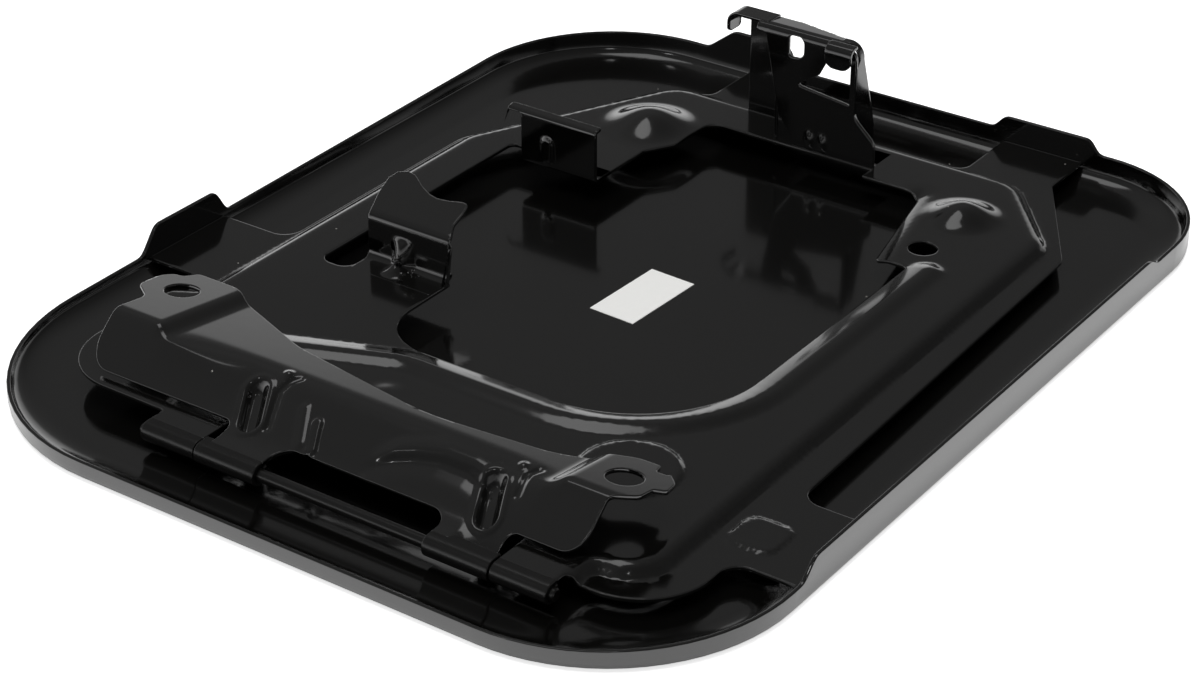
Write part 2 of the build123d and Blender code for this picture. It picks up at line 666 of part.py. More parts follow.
def make_hinge_pin():
    """Plain pin, a little longer than the row of knuckles."""
    start = knuckle_left_x - pin_end
    length = knuckle_right_x + pin_end - start
    pin = extrude(Plane.YZ.offset(start) * Pos(pin_y, pin_z) * Circle(pin_d / 2), amount=length)
    return chamfer(pin.edges().filter_by(GeomType.CIRCLE), pin_d / 10)


def make_label():
    """Blank paper label on the inside of the skin."""
    plan = Pos(label_x, label_y, skin_t) * Rot(0, 0, label_turn) * Rectangle(label_width, label_length)
    return extrude(plan, amount=label_t)


pieces = {
    "outer_panel": make_outer_panel,
    "inner_panel": make_inner_panel,
    "hinge_bracket": make_hinge_bracket,
    "hinge_pin": make_hinge_pin,
    "blank_label": make_label,
}
for name, make in pieces.items():
    export_step(make(), f"parts/{name}.step")
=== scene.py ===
"""Looks of a car fuel door that lies on its skin: pressed sheets in gloss black paint on a white floor.

Every sheet is a formula over its plan. Plan sizes are in millimetres, and meshes are in metres.
"""
import json
from math import ceil, cos, pi, radians, sin, tan

import bpy
import numpy as np
from bpy.props import FloatProperty, FloatVectorProperty, PointerProperty
from mathutils import Matrix, Vector
from mathutils.geometry import delaunay_2d_cdt


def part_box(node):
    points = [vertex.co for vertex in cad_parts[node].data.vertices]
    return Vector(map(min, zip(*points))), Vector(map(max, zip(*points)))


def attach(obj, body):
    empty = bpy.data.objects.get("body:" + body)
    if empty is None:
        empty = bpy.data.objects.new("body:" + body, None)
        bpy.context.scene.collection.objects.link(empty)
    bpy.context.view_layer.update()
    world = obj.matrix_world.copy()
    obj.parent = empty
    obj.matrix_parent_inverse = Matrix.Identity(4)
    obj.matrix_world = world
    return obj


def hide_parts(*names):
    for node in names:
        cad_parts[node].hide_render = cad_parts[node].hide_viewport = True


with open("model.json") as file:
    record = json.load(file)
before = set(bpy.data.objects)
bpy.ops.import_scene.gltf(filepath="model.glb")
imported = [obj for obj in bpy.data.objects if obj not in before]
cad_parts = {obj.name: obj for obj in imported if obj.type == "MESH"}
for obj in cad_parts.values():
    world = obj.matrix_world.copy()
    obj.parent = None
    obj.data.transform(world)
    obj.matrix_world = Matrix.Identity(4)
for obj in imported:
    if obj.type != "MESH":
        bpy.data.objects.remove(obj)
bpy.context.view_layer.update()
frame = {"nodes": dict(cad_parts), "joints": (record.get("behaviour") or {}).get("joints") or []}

bl_info = {
    "name": "Fuel door looks",
    "version": (1, 0, 0),
    "blender": (4, 5, 0),
    "location": "View3D > Sidebar > Fuel door",
    "description": "Builds the pressed sheets, the hinge and the studio stage of a car fuel door",
    "category": "Object",
}

MM = 0.001

# Places read from the frame
half_width, half_length = np.array(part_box("outer_panel")[1])[:2] / MM
pin_low, pin_high = [np.array(corner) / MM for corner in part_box("hinge_pin")]
pin_y, pin_z = np.array(frame["joints"][0]["pos_m"])[1:] / MM

# Edges of the sheets, and the reach within which doubled points are merged
EDGE_ROUND = 0.16
EDGE_SEGMENTS = 2
MERGE_REACH = 0.002

# Mesh of a sheet, in shares of its step: the line beside an outline, and the least gaps between points
BORDER_SHARE = 0.6
GUIDE_GAP = 0.3
GUIDE_CELL = 0.25
GRID_GAP = 0.45

# Lengths that count as nothing
POINT_GAP = 1e-6
MESH_GAP = 1e-7
RUN_GAP = 1e-12
BESIDE_SLACK = 0.03
CELL_ROW = 100000

SKIN_SHEET = 0.8


# Sizes and colours

def length(name, description, millimetres):
    """Property that holds a length."""
    return FloatProperty(name=name, description=description, default=millimetres * MM, unit="LENGTH",
                         precision=5)


def colour(name, description, value):
    """Property that holds a colour."""
    return FloatVectorProperty(name=name, description=description, default=value, subtype="COLOR",
                               min=0, max=1)


def share(name, description, value):
    """Property that holds a share of one."""
    return FloatProperty(name=name, description=description, default=value, subtype="FACTOR", min=0, max=1)


class SkinSizes(bpy.types.PropertyGroup):
    """Sizes of the outer skin"""
    sheet: length("Sheet", "Sheet thickness of the skin", SKIN_SHEET)
    bend: length("Bend", "Outer radius between the face and the flange", 1.7)
    fillet: length("Fillet", "Reach of the soft fillet inside the flange", 8.0)
    fillet_rise: length("Fillet rise", "Height of the soft fillet inside the flange", 2.8)
    front_flange: length("Front flange", "Flange height at the hinge side", 4.0)
    rear_flange: length("Rear flange", "Flange height at the latch side", 6.9)
    front_left: length("Front left corner", "Corner radius, hinge side, left", 42.0)
    front_right: length("Front right corner", "Corner radius, hinge side, right", 37.0)
    rear_right: length("Rear right corner", "Corner radius, latch side, right", 27.5)
    rear_left: length("Rear left corner", "Corner radius, latch side, left", 34.0)


class PanelSizes(bpy.types.PropertyGroup):
    """Sizes of the stamped inner panel"""
    sheet: length("Sheet", "Sheet thickness of the inner panel", 0.8)
    rim: length("Rim level", "Height of the rim's upper face", 4.3)
    field: length("Field level", "Height of the raised field's upper face", 6.2)
    bead: length("Bead height", "Height of the bead beside the window", 1.1)
    striker: length("Striker height", "Height of the striker's cap", 31.9)


class BracketSizes(bpy.types.PropertyGroup):
    """Sizes of the hinge bracket"""
    sheet: length("Sheet", "Sheet thickness of the bracket", 0.9)
    ear: length("Ear level", "Height of the ears' upper face at the left bolt", 13.0)
    lean: FloatProperty(name="Ear lean", description="Lean of the ears' plane", default=radians(8.5),
                        subtype="ANGLE")
    ear_step: length("Ear step", "Step from the ears down to the saddle", 1.6)
    dart: length("Dart depth", "Depth of the two stiffening darts", 1.8)
    bolt_hole: length("Bolt hole", "Diameter of the bolt holes", 6.6)


class FinishLook(bpy.types.PropertyGroup):
    """Colours and gloss"""
    paint: colour("Paint", "Colour of the black paint", (0.0022, 0.0021, 0.0019))
    gloss_roughness: share("Paint roughness", "Roughness of the paint", 0.12)
    dull_roughness: share("Dull roughness", "Roughness of the paint on the hinge", 0.3)
    label: colour("Label", "Colour of the label's paper", (0.86, 0.86, 0.84))
    floor: colour("Floor", "Colour of the studio floor", (0.82, 0.82, 0.82))


# Formulas and outlines

def mm(group, *names):
    """Lengths of a property group, in millimetres."""
    return [getattr(group, name) / MM for name in names]


def smooth_step(t):
    """Rise from 0 to 1 with level ends: 3 t squared less 2 t cubed."""
    t = np.clip(t, 0, 1)
    return t * t * (3 - 2 * t)


def bell(t):
    """Bell from 1 at t = 0 to 0 at t = 1: half of one plus the cosine."""
    return 0.5 + 0.5 * np.cos(pi * np.clip(np.abs(t), 0, 1))


def unit(vector):
    """Vector of length one."""
    return vector / np.linalg.norm(vector)


def unit_rows(rows):
    """Each row made a vector of length one."""
    return rows / np.linalg.norm(rows, axis=1)[:, None]


def corner_arc(before, corner, after, radius, turn=radians(5)):
    """Tangent arc of a radius inside a corner, as points at equal angles."""
    if radius <= 0:
        return corner[None, :]
    back, ahead = unit(before - corner), unit(after - corner)
    half = 0.5 * np.arccos(np.clip(back @ ahead, -1, 1))
    centre = corner + unit(back + ahead) * radius / sin(half)
    start = corner + back * radius / tan(half) - centre
    end = corner + ahead * radius / tan(half) - centre
    sweep = np.arctan2(start[0] * end[1] - start[1] * end[0], start @ end)
    angle = np.linspace(0, sweep, max(3, ceil(abs(sweep) / turn)))
    return centre + start * np.cos(angle)[:, None] + np.array([-start[1], start[0]]) * np.sin(angle)[:, None]


def straight(start, end, step):
    """Points between two places, without the ends."""
    count = int(np.linalg.norm(end - start) / step)
    return start + (end - start) * np.linspace(0, 1, count + 2)[1:-1, None]


def rounded_outline(corners, step):
    """Closed outline through corners (x, y, radius): straight runs joined by tangent arcs."""
    places = np.array([corner[:2] for corner in corners], float)
    befores, afters = np.roll(places, 1, axis=0), np.roll(places, -1, axis=0)
    arcs = [corner_arc(b, p, a, c[2]) for b, p, a, c in zip(befores, places, afters, corners)]
    runs = [straight(one[-1], two[0], step) for one, two in zip(arcs, arcs[1:] + arcs[:1])]
    outline = np.concatenate([part for pair in zip(arcs, runs) for part in pair])
    return outline[np.linalg.norm(outline - np.roll(outline, 1, axis=0), axis=1) > POINT_GAP]


def round_hole(x, y, radius, step=0.5):
    """Circle as a closed outline."""
    angle = np.linspace(0, 2 * pi, ceil(2 * pi * radius / step), endpoint=False)
    return np.stack([x + radius * np.cos(angle), y + radius * np.sin(angle)], axis=1)


def turns_left(outline):
    """Whether a closed outline runs anticlockwise: its signed area is positive."""
    ahead = np.roll(outline, -1, axis=0)
    return np.sum(outline[:, 0] * ahead[:, 1] - outline[:, 1] * ahead[:, 0]) > 0


def inside(points, outline):
    """Even-odd rule: whether each point lies inside a closed outline."""
    odd = np.zeros(len(points), bool)
    for (x0, y0), (x1, y1) in zip(outline, np.roll(outline, -1, axis=0)):
        if y0 != y1:
            crosses = (y0 > points[:, 1]) != (y1 > points[:, 1])
            odd ^= crosses & (points[:, 0] < x0 + (points[:, 1] - y0) * (x1 - x0) / (y1 - y0))
    return odd


def distance_to_run(points, start, end):
    """Distance from each point to the nearest place on one straight run, and the side that it lies on."""
    run = end - start
    away = points - start
    share_along = np.clip(away @ run / max(run @ run, RUN_GAP), 0, 1)
    gap = np.linalg.norm(away - share_along[:, None] * run, axis=1)
    return gap, np.sign(run[0] * away[:, 1] - run[1] * away[:, 0])


def distance_to_line(points, line):
    """Distance from each point to the nearest place on an open line of straight runs."""
    best = np.full(len(points), np.inf)
    for start, end in zip(line[:-1], line[1:]):
        best = np.minimum(best, distance_to_run(points, start, end)[0])
    return best


def offset_from_line(points, line):
    """Signed distance from each point to an open line: positive on its left side."""
    best = np.full(len(points), np.inf)
    side = np.zeros(len(points))
    for start, end in zip(line[:-1], line[1:]):
        gap, gap_side = distance_to_run(points, start, end)
        nearer = gap < best
        best = np.where(nearer, gap, best)
        side = np.where(nearer, gap_side, side)
    return best * side


def evenly(line, step):
    """Points about a step apart along an open line."""
    along = np.concatenate([[0], np.cumsum(np.linalg.norm(np.diff(line, axis=0), axis=1))])
    places = np.linspace(0, along[-1], ceil(along[-1] / step) + 1)
    return np.stack([np.interp(places, along, line[:, k]) for k in range(2)], axis=1)


def beside(line, distance):
    """Line moved to its left by a distance, less the places that come too near to another part of it."""
    ahead = unit_rows(np.gradient(line, axis=0))
    moved = line + distance * np.stack([-ahead[:, 1], ahead[:, 0]], axis=1)
    return moved[distance_to_line(moved, line) > abs(distance) - BESIDE_SLACK]


def clear_of(points, others, gap):
    """Whether the cells of a square grid around each point, one gap wide, hold none of the other points."""
    shifts = np.array([(i, j) for i in (-1, 0, 1) for j in (-1, 0, 1)])
    taken = (np.floor(others / gap).astype(int)[:, None, :] + shifts).reshape(-1, 2)
    row = np.array([1, CELL_ROW])
    return ~np.isin(np.floor(points / gap).astype(int) @ row, taken @ row)


def closed(outline):
    """Outline with its first point again at its end."""
    return np.concatenate([outline, outline[:1]])


def depth_inside(points, outline):
    """Signed distance to a closed outline: positive inside, negative outside."""
    gap = distance_to_line(points, closed(outline))
    return np.where(inside(points, outline), gap, -gap)


# Sheets

def on_sheet(points, loops):
    """Whether each point lies inside the first loop and outside the others."""
    kept = inside(points, loops[0])
    for hole in loops[1:]:
        kept &= ~inside(points, hole)
    return kept


def plan_mesh(loops, step, guides=()):
    """Triangles inside the first loop and outside the others: Delaunay mesh of the loops, of a line beside
    each of them, of guide lines that follow the forms, and of a staggered grid between them."""
    low, high = loops[0].min(axis=0), loops[0].max(axis=0)
    rows = np.arange(low[1], high[1], step * sin(pi / 3))
    columns = np.arange(low[0], high[0], step)
    x, y = np.meshgrid(columns, rows)
    x = x + step / 2 * (np.arange(len(rows)) % 2)[:, None]
    grid = np.stack([x.ravel(), y.ravel()], axis=1)
    guided = np.concatenate([beside(closed(loop), step * BORDER_SHARE) for loop in loops])
    for guide in guides:
        guided = np.concatenate([guided, guide[clear_of(guide, guided, step * GUIDE_GAP)]])
    one_per_cell = np.unique(np.floor(guided / (step * GUIDE_CELL)), axis=0, return_index=True)[1]
    guided = guided[np.sort(one_per_cell)]
    grid = np.concatenate([guided, grid[clear_of(grid, guided, step * GRID_GAP)]])
    grid = grid[on_sheet(grid, loops)]
    for loop in loops:
        grid = grid[distance_to_line(grid, closed(loop)) > step * GRID_GAP]
    points = np.concatenate([*loops, grid])
    edges, first = [], 0
    for loop in loops:
        index = np.arange(first, first + len(loop))
        edges.append(np.stack([index, np.roll(index, -1)], axis=1))
        first += len(loop)
    made = delaunay_2d_cdt([Vector(p) for p in points], np.concatenate(edges).tolist(), [], 0, MESH_GAP)
    if len(made[0]) != len(points):
        raise RuntimeError("the outlines of a sheet cross each other")
    triangles = np.array(made[2])
    triangles = triangles[on_sheet(points[triangles].mean(axis=1), loops)]
    a, b, c = [points[triangles[:, k]] for k in range(3)]
    clockwise = (b - a)[:, 0] * (c - a)[:, 1] - (b - a)[:, 1] * (c - a)[:, 0] < 0
    triangles[clockwise] = triangles[clockwise][:, ::-1]
    used = np.isin(np.arange(len(points)), triangles)
    if not used[:first].all():
        raise RuntimeError("a point of a sheet's outline is on no triangle")
    renumbered = np.cumsum(used) - 1
    return points[used], renumbered[triangles], edges


def vertex_normals(points, triangles):
    """Unit normals at the points: sums of the normals of the triangles around them."""
    a, b, c = [points[triangles[:, k]] for k in range(3)]
    flat = np.cross(b - a, c - a)
    sums = np.zeros_like(points)
    for k in range(3):
        np.add.at(sums, triangles[:, k], flat)
    return unit_rows(sums)


def new_piece(name, points, faces, soft_edges=None):
    """Object from points in millimetres and faces. Its soft edges, as pairs of points, are rounded off."""
    mesh = bpy.data.meshes.new(name)
    mesh.from_pydata((points * MM).tolist(), [], faces)
    mesh.update(calc_edges=True)
    mesh.shade_smooth()
    piece = bpy.data.objects.new(name, mesh)
    bpy.context.scene.collection.objects.link(piece)
    if soft_edges is not None:
        ends = np.zeros(len(mesh.edges) * 2, int)
        mesh.edges.foreach_get("vertices", ends)
        ends = np.sort(ends.reshape(-1, 2), axis=1)
        wanted = np.sort(soft_edges, axis=1)
        count = len(points)
        marked = np.isin(ends[:, 0] * count + ends[:, 1], wanted[:, 0] * count + wanted[:, 1])
        weights = mesh.attributes.new("bevel_weight_edge", "FLOAT", "EDGE")
        weights.data.foreach_set("value", marked.astype(np.float32))
        rounding = piece.modifiers.new("Edge rounding", "BEVEL")
        rounding.limit_method = "WEIGHT"
        rounding.width = EDGE_ROUND * MM
        rounding.segments = EDGE_SEGMENTS
        rounding.use_clamp_overlap = False
    merged = piece.modifiers.new("Merged doubles", "WELD")
    merged.merge_threshold = MERGE_REACH * MM
    even = piece.modifiers.new("Even shading", "WEIGHTED_NORMAL")
    even.keep_sharp = True
    return piece


def pressed_piece(name, outline, holes, step, surface, sheet, guides=()):
    """Pressed sheet: its upper face is surface(u, v) over a plan, its lower face lies one thickness below
    along the normal, and a band joins the two round the outline and the holes."""
    loops = [outline if turns_left(outline) else outline[::-1]]
    loops += [hole[::-1] if turns_left(hole) else hole for hole in holes]
    plan, triangles, edges = plan_mesh(loops, step, guides)
    upper = surface(plan[:, 0], plan[:, 1])
    lower = upper - sheet * vertex_normals(upper, triangles)
    count = len(upper)
    rims = np.concatenate(edges)
    one, two = rims[:, 0], rims[:, 1]
    down = np.stack([one, one + count, two + count], axis=1)
    across = np.stack([one, two + count, two], axis=1)
    faces = np.concatenate([triangles, triangles[:, ::-1] + count, down, across])
    soft_edges = np.concatenate([rims, rims + count])
    return new_piece(name, np.concatenate([upper, lower]), faces.tolist(), soft_edges)


class BentLine:
    """Side view of a bent strip: straight runs and tangent arcs through corners (y, z, radius)."""

    def __init__(self, corners):
        places = np.array([corner[:2] for corner in corners], float)
        parts = [places[:1]]
        for before, here, after, corner in zip(places, places[1:], places[2:], corners[1:]):
            parts.append(corner_arc(before, here, after, corner[2], radians(3)))
        parts.append(places[-1:])
        self.line = np.concatenate(parts)
        self.along = np.concatenate([[0], np.cumsum(np.linalg.norm(np.diff(self.line, axis=0), axis=1))])
        self.end = self.along[-1]

    def at(self, distance):
        """Y and Z at a distance along the line."""
        return [np.interp(distance, self.along, self.line[:, k]) for k in range(2)]

    def normal(self, distance):
        """Y and Z of the unit normal on the side that faces the hinge: the tangent turned by a quarter."""
        slope = [np.gradient(self.line[:, k], self.along) for k in range(2)]
        y, z = [np.interp(distance, self.along, part) for part in slope]
        size = np.hypot(y, z)
        return -z / size, y / size

    def reach(self, z):
        """Distance along the line at which it first comes up to a height."""
        above = max(1, int(np.argmax(self.line[:, 1] >= z)))
        pair = slice(above - 1, above + 1)
        return float(np.interp(z, self.line[pair, 1], self.along[pair]))


def strip_surface(line, bulge=None):
    """Surface of a bent strip: x stays, and the distance along the strip follows its side view.
    A bulge(x, distance) pushes the face out along its normal."""
    def surface(x, distance):
        y, z = line.at(distance)
        if bulge is not None:
            push = bulge(x, distance)
            ny, nz = line.normal(distance)
            y, z = y + push * ny, z + push * nz
        return np.stack([x, y, z], axis=1)
    return surface


def strip_piece(name, corners, step, surface, sheet):
    """Pressed piece without holes, with one step for its outline and its mesh."""
    return pressed_piece(name, rounded_outline(corners, step), [], step, surface, sheet)


def raised(line, corners):
    """Corners (x, z, radius) with their heights told as distances along a bent line."""
    return [(x, line.reach(z), radius) for x, z, radius in corners]


def finish_piece(piece, body, finish, replaced=()):
    """Gives a piece its paint and its body, and hides the CAD nodes that it stands for."""
    piece.data.materials.append(finish)
    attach(piece, body)
    if replaced:
        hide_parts(*replaced)


# Finishes

PAINT_IOR = 1.7
COAT_SHARE = 0.7
CLOUD_SCALE = 35.0
PEEL_SCALE = 420.0
DUST_SCALE = 125.0
DUST_RADIUS = 0.022
DUST_RARITY = 0.72
DUST_COLOUR = (0.30, 0.29, 0.27, 1)
GLOSS_RANGE = (0.7, 1.5)
PEEL_STRENGTH = 0.02
PEEL_DEPTH = 0.0002
DULL_COAT = 0.15
PAPER_ROUGHNESS = 0.55
FIBRE_SCALE = 900.0
FIBRE_SHADE = 0.96
FIBRE_STRENGTH = 0.1
FIBRE_DEPTH = 0.00005


def set_inputs(made, **inputs):
    """Sets inputs of a shader node. An underscore stands for the space in an input's name."""
    for name, value in inputs.items():
        made.inputs[name.replace("_", " ")].default_value = value


def node(tree, kind, place=(0, 0), **inputs):
    """Shader node with some of its inputs set."""
    made = tree.nodes.new(kind)
    made.location = place
    set_inputs(made, **inputs)
    return made


def new_finish(name):
    """Material with its node tree emptied down to a Principled shader."""
    finish = bpy.data.materials.new(name)
    finish.use_nodes = True
    tree = finish.node_tree
    tree.nodes.clear()
    output = node(tree, "ShaderNodeOutputMaterial", (600, 0))
    shader = node(tree, "ShaderNodeBsdfPrincipled", (300, 0))
    tree.links.new(shader.outputs["BSDF"], output.inputs["Surface"])
    return finish, tree, shader


def math_node(tree, operation, first, second):
    """Math node on a socket and a socket or number."""
    made = tree.nodes.new("ShaderNodeMath")
    made.operation = operation
    tree.links.new(first, made.inputs[0])
    if isinstance(second, (int, float)):
        made.inputs[1].default_value = second
    else:
        tree.links.new(second, made.inputs[1])
    return made.outputs[0]


def mix_colours(tree, shader, socket, first, second):
    """Base colour that goes from a first to a second colour with a socket."""
    mix = tree.nodes.new("ShaderNodeMix")
    mix.data_type = "RGBA"
    tree.links.new(socket, mix.inputs["Factor"])
    set_inputs(mix, A=first, B=second)
    tree.links.new(mix.outputs["Result"], shader.inputs["Base Color"])


def add_grain(tree, shader, texture, strength, depth):
    """Fine bump from a noise texture."""
    bump = node(tree, "ShaderNodeBump", (0, -300), Strength=strength, Distance=depth)
    tree.links.new(texture.outputs["Fac"], bump.inputs["Height"])
    tree.links.new(bump.outputs["Normal"], shader.inputs["Normal"])


def black_paint(name, look, roughness, coat):
    """Black paint under a share of clear coat, with a faint orange peel, small changes of gloss and dust."""
    finish, tree, shader = new_finish(name)
    coat_roughness = look.gloss_roughness * COAT_SHARE
    set_inputs(shader, IOR=PAINT_IOR, Coat_Weight=coat, Coat_Roughness=coat_roughness, Coat_IOR=PAINT_IOR)
    place = node(tree, "ShaderNodeTexCoord", (-1200, 0))
    cloud = node(tree, "ShaderNodeTexNoise", (-900, 200), Scale=CLOUD_SCALE, Detail=3.0)
    peel = node(tree, "ShaderNodeTexNoise", (-900, -300), Scale=PEEL_SCALE, Detail=1.0)
    dust = node(tree, "ShaderNodeTexVoronoi", (-900, 0), Scale=DUST_SCALE)
    for texture in (cloud, peel, dust):
        tree.links.new(place.outputs["Object"], texture.inputs["Vector"])
    low, high = [roughness * share_of for share_of in GLOSS_RANGE]
    gloss = node(tree, "ShaderNodeMapRange", (-600, 200), To_Min=low, To_Max=high)
    tree.links.new(cloud.outputs["Fac"], gloss.inputs["Value"])
    tree.links.new(gloss.outputs["Result"], shader.inputs["Roughness"])
    near = math_node(tree, "LESS_THAN", dust.outputs["Distance"], DUST_RADIUS)
    chosen = tree.nodes.new("ShaderNodeSeparateColor")
    tree.links.new(dust.outputs["Color"], chosen.inputs["Color"])
    rare = math_node(tree, "GREATER_THAN", chosen.outputs["Red"], DUST_RARITY)
    speck = math_node(tree, "MULTIPLY", near, rare)
    mix_colours(tree, shader, speck, (*look.paint, 1), DUST_COLOUR)
    add_grain(tree, shader, peel, PEEL_STRENGTH, PEEL_DEPTH)
    return finish


def label_paper(look):
    """White paper with a faint fibre grain."""
    finish, tree, shader = new_finish("label_paper")
    set_inputs(shader, Roughness=PAPER_ROUGHNESS)
    place = node(tree, "ShaderNodeTexCoord", (-1000, 0))
    fibre = node(tree, "ShaderNodeTexNoise", (-700, 0), Scale=FIBRE_SCALE, Detail=4.0)
    tree.links.new(place.outputs["Object"], fibre.inputs["Vector"])
    shaded = (*[part * FIBRE_SHADE for part in look.label], 1)
    mix_colours(tree, shader, fibre.outputs["Fac"], shaded, (*look.label, 1))
    add_grain(tree, shader, fibre, FIBRE_STRENGTH, FIBRE_DEPTH)
    return finish


def paint():
    """The gloss paint of the sheets, made once."""
    look = bpy.context.scene.fuel_door_finish
    name = "gloss_black_paint"
    return bpy.data.materials.get(name) or black_paint(name, look, look.gloss_roughness, 1.0)


def dull_paint():
    """The duller paint of the hinge, made once."""
    look = bpy.context.scene.fuel_door_finish
    name = "dull_black_paint"
    return bpy.data.materials.get(name) or black_paint(name, look, look.dull_roughness, DULL_COAT)


# Outer skin

# Raised stretches of the flange: start, start of top, end of top, end, height
LEFT_TAB = (-43.1, -38.2, -20.8, -17.3, 10.3)
RIGHT_RAIL = (-64.1, -60.0, 64.3, 71.5, 8.0)
REAR_TAB_A = (-48.8, -38.2, -24.0, -19.8, 12.2)
REAR_TAB_B = (25.2, 29.7, 50.1, 53.3, 9.9)
FLANGE_BAND = 1.0
SKIN_EDGE_SHARE = 0.28
SKIN_STEP = 0.6
FACE_SCALES = (0.25, 0.5, 0.75, 0.93)


def flange_height(x, y, front, rear):
    """Height of the flange round the skin: a straight rise from front to rear, and four raised stretches."""
    height = front + (rear - front) * (y + half_length) / (2 * half_length)
    near_x, near_y = half_width - FLANGE_BAND, half_length - FLANGE_BAND
    sides = ((x < -near_x, y, LEFT_TAB), (x > near_x, y, RIGHT_RAIL),
             (y > near_y, x, REAR_TAB_A), (y > near_y, x, REAR_TAB_B))
    for on_side, place, (start, top_start, top_end, end, top) in sides:
        tab = np.interp(place, [start, top_start, top_end, end], [front, top, top, front])
        height = np.where(on_side, np.maximum(height, tab), height)
    spread = np.array([1, 2, 3, 2, 1]) / 9
    shifts = range(-2, 3)
    return sum(weight * np.roll(height, shift) for weight, shift in zip(spread, shifts))


def skin_rings(sizes):
    """Rings of the skin from the middle of its face, round the bend, up the flange, over its edge and back.
    A ring is the rounded rectangle moved inwards, at a height that may change along it."""
    sheet, bend, front, rear = mm(sizes, "sheet", "bend", "front_flange", "rear_flange")
    fillet, rise = mm(sizes, "fillet", "fillet_rise")
    radii = mm(sizes, "front_left", "front_right", "rear_right", "rear_left")
    places = [(-half_width, -half_length), (half_width, -half_length),
              (half_width, half_length), (-half_width, half_length)]
    outline = rounded_outline([(*place, radius) for place, radius in zip(places, radii)], SKIN_STEP)
    ahead = unit_rows(np.roll(outline, -1, axis=0) - np.roll(outline, 1, axis=0))
    outward = np.stack([ahead[:, 1], -ahead[:, 0]], axis=1)
    top = flange_height(outline[:, 0], outline[:, 1], front, rear)
    edge = sheet * SKIN_EDGE_SHARE
    level = np.zeros(len(outline))

    def ring(inset, z, scale=1.0):
        return np.column_stack([(outline - outward * inset) * scale, level + z])

    quarter = np.linspace(0, pi / 2, 7)
    rings = [ring(bend, 0, scale) for scale in FACE_SCALES]
    rings += [ring(bend * (1 - sin(a)), bend * (1 - cos(a))) for a in quarter]
    rings += [ring(0, bend + (top - edge - bend) * t) for t in (0.3, 0.65)]
    rings += [ring(edge * (1 - cos(a)), top - edge + edge * sin(a)) for a in quarter[::2]]
    rings += [ring(sheet - edge * (1 - sin(a)), top - edge + edge * cos(a)) for a in quarter[::2]]
    rings += [ring(sheet, top - edge + (sheet + rise - top + edge) * t) for t in (0.35, 0.7)]
    slow = np.linspace(0, pi / 2, 15)
    rings += [ring(sheet + fillet * (1 - cos(a)), sheet + rise * (1 - sin(a))) for a in slow]
    rings += [ring(sheet + fillet, sheet, scale) for scale in reversed(FACE_SCALES)]
    return np.array(rings), sheet


def closed_rings(rings, first_pole, last_pole):
    """Points and faces of rings that follow each other, with a pole at each end."""
    count, around = rings.shape[:2]
    index = np.arange(count * around).reshape(count, around)
    ahead = np.roll(index, -1, axis=1)
    quads = np.stack([index[:-1], ahead[:-1], ahead[1:], index[1:]], axis=-1).reshape(-1, 4)
    first, last = count * around, count * around + 1
    first_fan = np.stack([np.full(around, first), ahead[0], index[0]], axis=1)
    last_fan = np.stack([np.full(around, last), index[-1], ahead[-1]], axis=1)
    points = np.concatenate([rings.reshape(-1, 3), [first_pole, last_pole]])
    return points, quads.tolist() + first_fan.tolist() + last_fan.tolist()


class FUELDOOR_OT_skin(bpy.types.Operator):
    """Outer skin with its flange and raised tabs"""
    bl_idname = "fueldoor.skin"
    bl_label = "Outer skin"

    def execute(self, context):
        rings, sheet = skin_rings(context.scene.fuel_door_skin)
        points, faces = closed_rings(rings, (0, 0, 0), (0, 0, sheet))
        piece = new_piece("door_skin", points, faces)
        finish_piece(piece, "door", paint(), ("outer_panel",))
        return {"FINISHED"}


# Inner panel

wall_x = half_width - SKIN_SHEET
wall_y = half_length - SKIN_SHEET
knuckle_left, knuckle_left_split, knuckle_left_end = -37.5, -25.0, -11.5
knuckle_right_start, knuckle_right_split, knuckle_right = 25.2, 39.0, 50.4
knuckle_gap = 0.3
clip_a_y, clip_b_y = -18.4, 34.4
striker_y = 72.4

PANEL_OUTLINE = [
    (-66.5, -84.5, 14), (knuckle_left, -84.5, 1), (knuckle_left, -88.0, 0),
    (knuckle_left_split - knuckle_gap, -88.0, 0), (knuckle_left_split - knuckle_gap, -77.0, 3),
    (knuckle_right_split, -77.0, 3), (knuckle_right_split, -88.0, 0), (knuckle_right, -88.0, 0),
    (knuckle_right, -84.5, 1.5), (69.6, -84.5, 14), (69.0, -64.5, 4), (wall_x, -64.5, 0),
    (wall_x, -42.0, 0), (68.3, -42.0, 4), (65.3, 61.0, 4), (48.5, 89.3, 2), (48.5, wall_y, 0),
    (30.0, wall_y, 0), (30.0, 85.2, 3), (-14.0, 85.2, 3), (-14.0, wall_y, 0), (-33.0, wall_y, 0),
    (-33.0, 85.2, 3), (-41.5, 85.2, 9.5), (-64.8, 37.2, 9.5), (-64.8, -19.0, 4), (-wall_x, -19.0, 0),
    (-wall_x, -41.0, 0), (-66.5, -41.0, 4),
]
WINDOW_OUTLINE = [
    (-52.0, -24.9, 3), (-44.6, -24.9, 3), (-44.6, clip_a_y, 0), (-24.8, clip_a_y, 0),
    (-24.8, -42.3, 12), (43.4, -42.3, 27), (43.4, 38.2, 1.5), (36.0, 38.2, 1.5), (29.6, 67.4, 3),
    (16.0, 67.4, 0), (16.0, 71.0, 0), (-23.5, 71.0, 3), (-23.5, 57.5, 3), (-27.4, 51.5, 3),
    (-27.4, clip_b_y, 0), (-46.2, clip_b_y, 0), (-46.2, 38.4, 1.5), (-52.0, 38.4, 1.5),
]
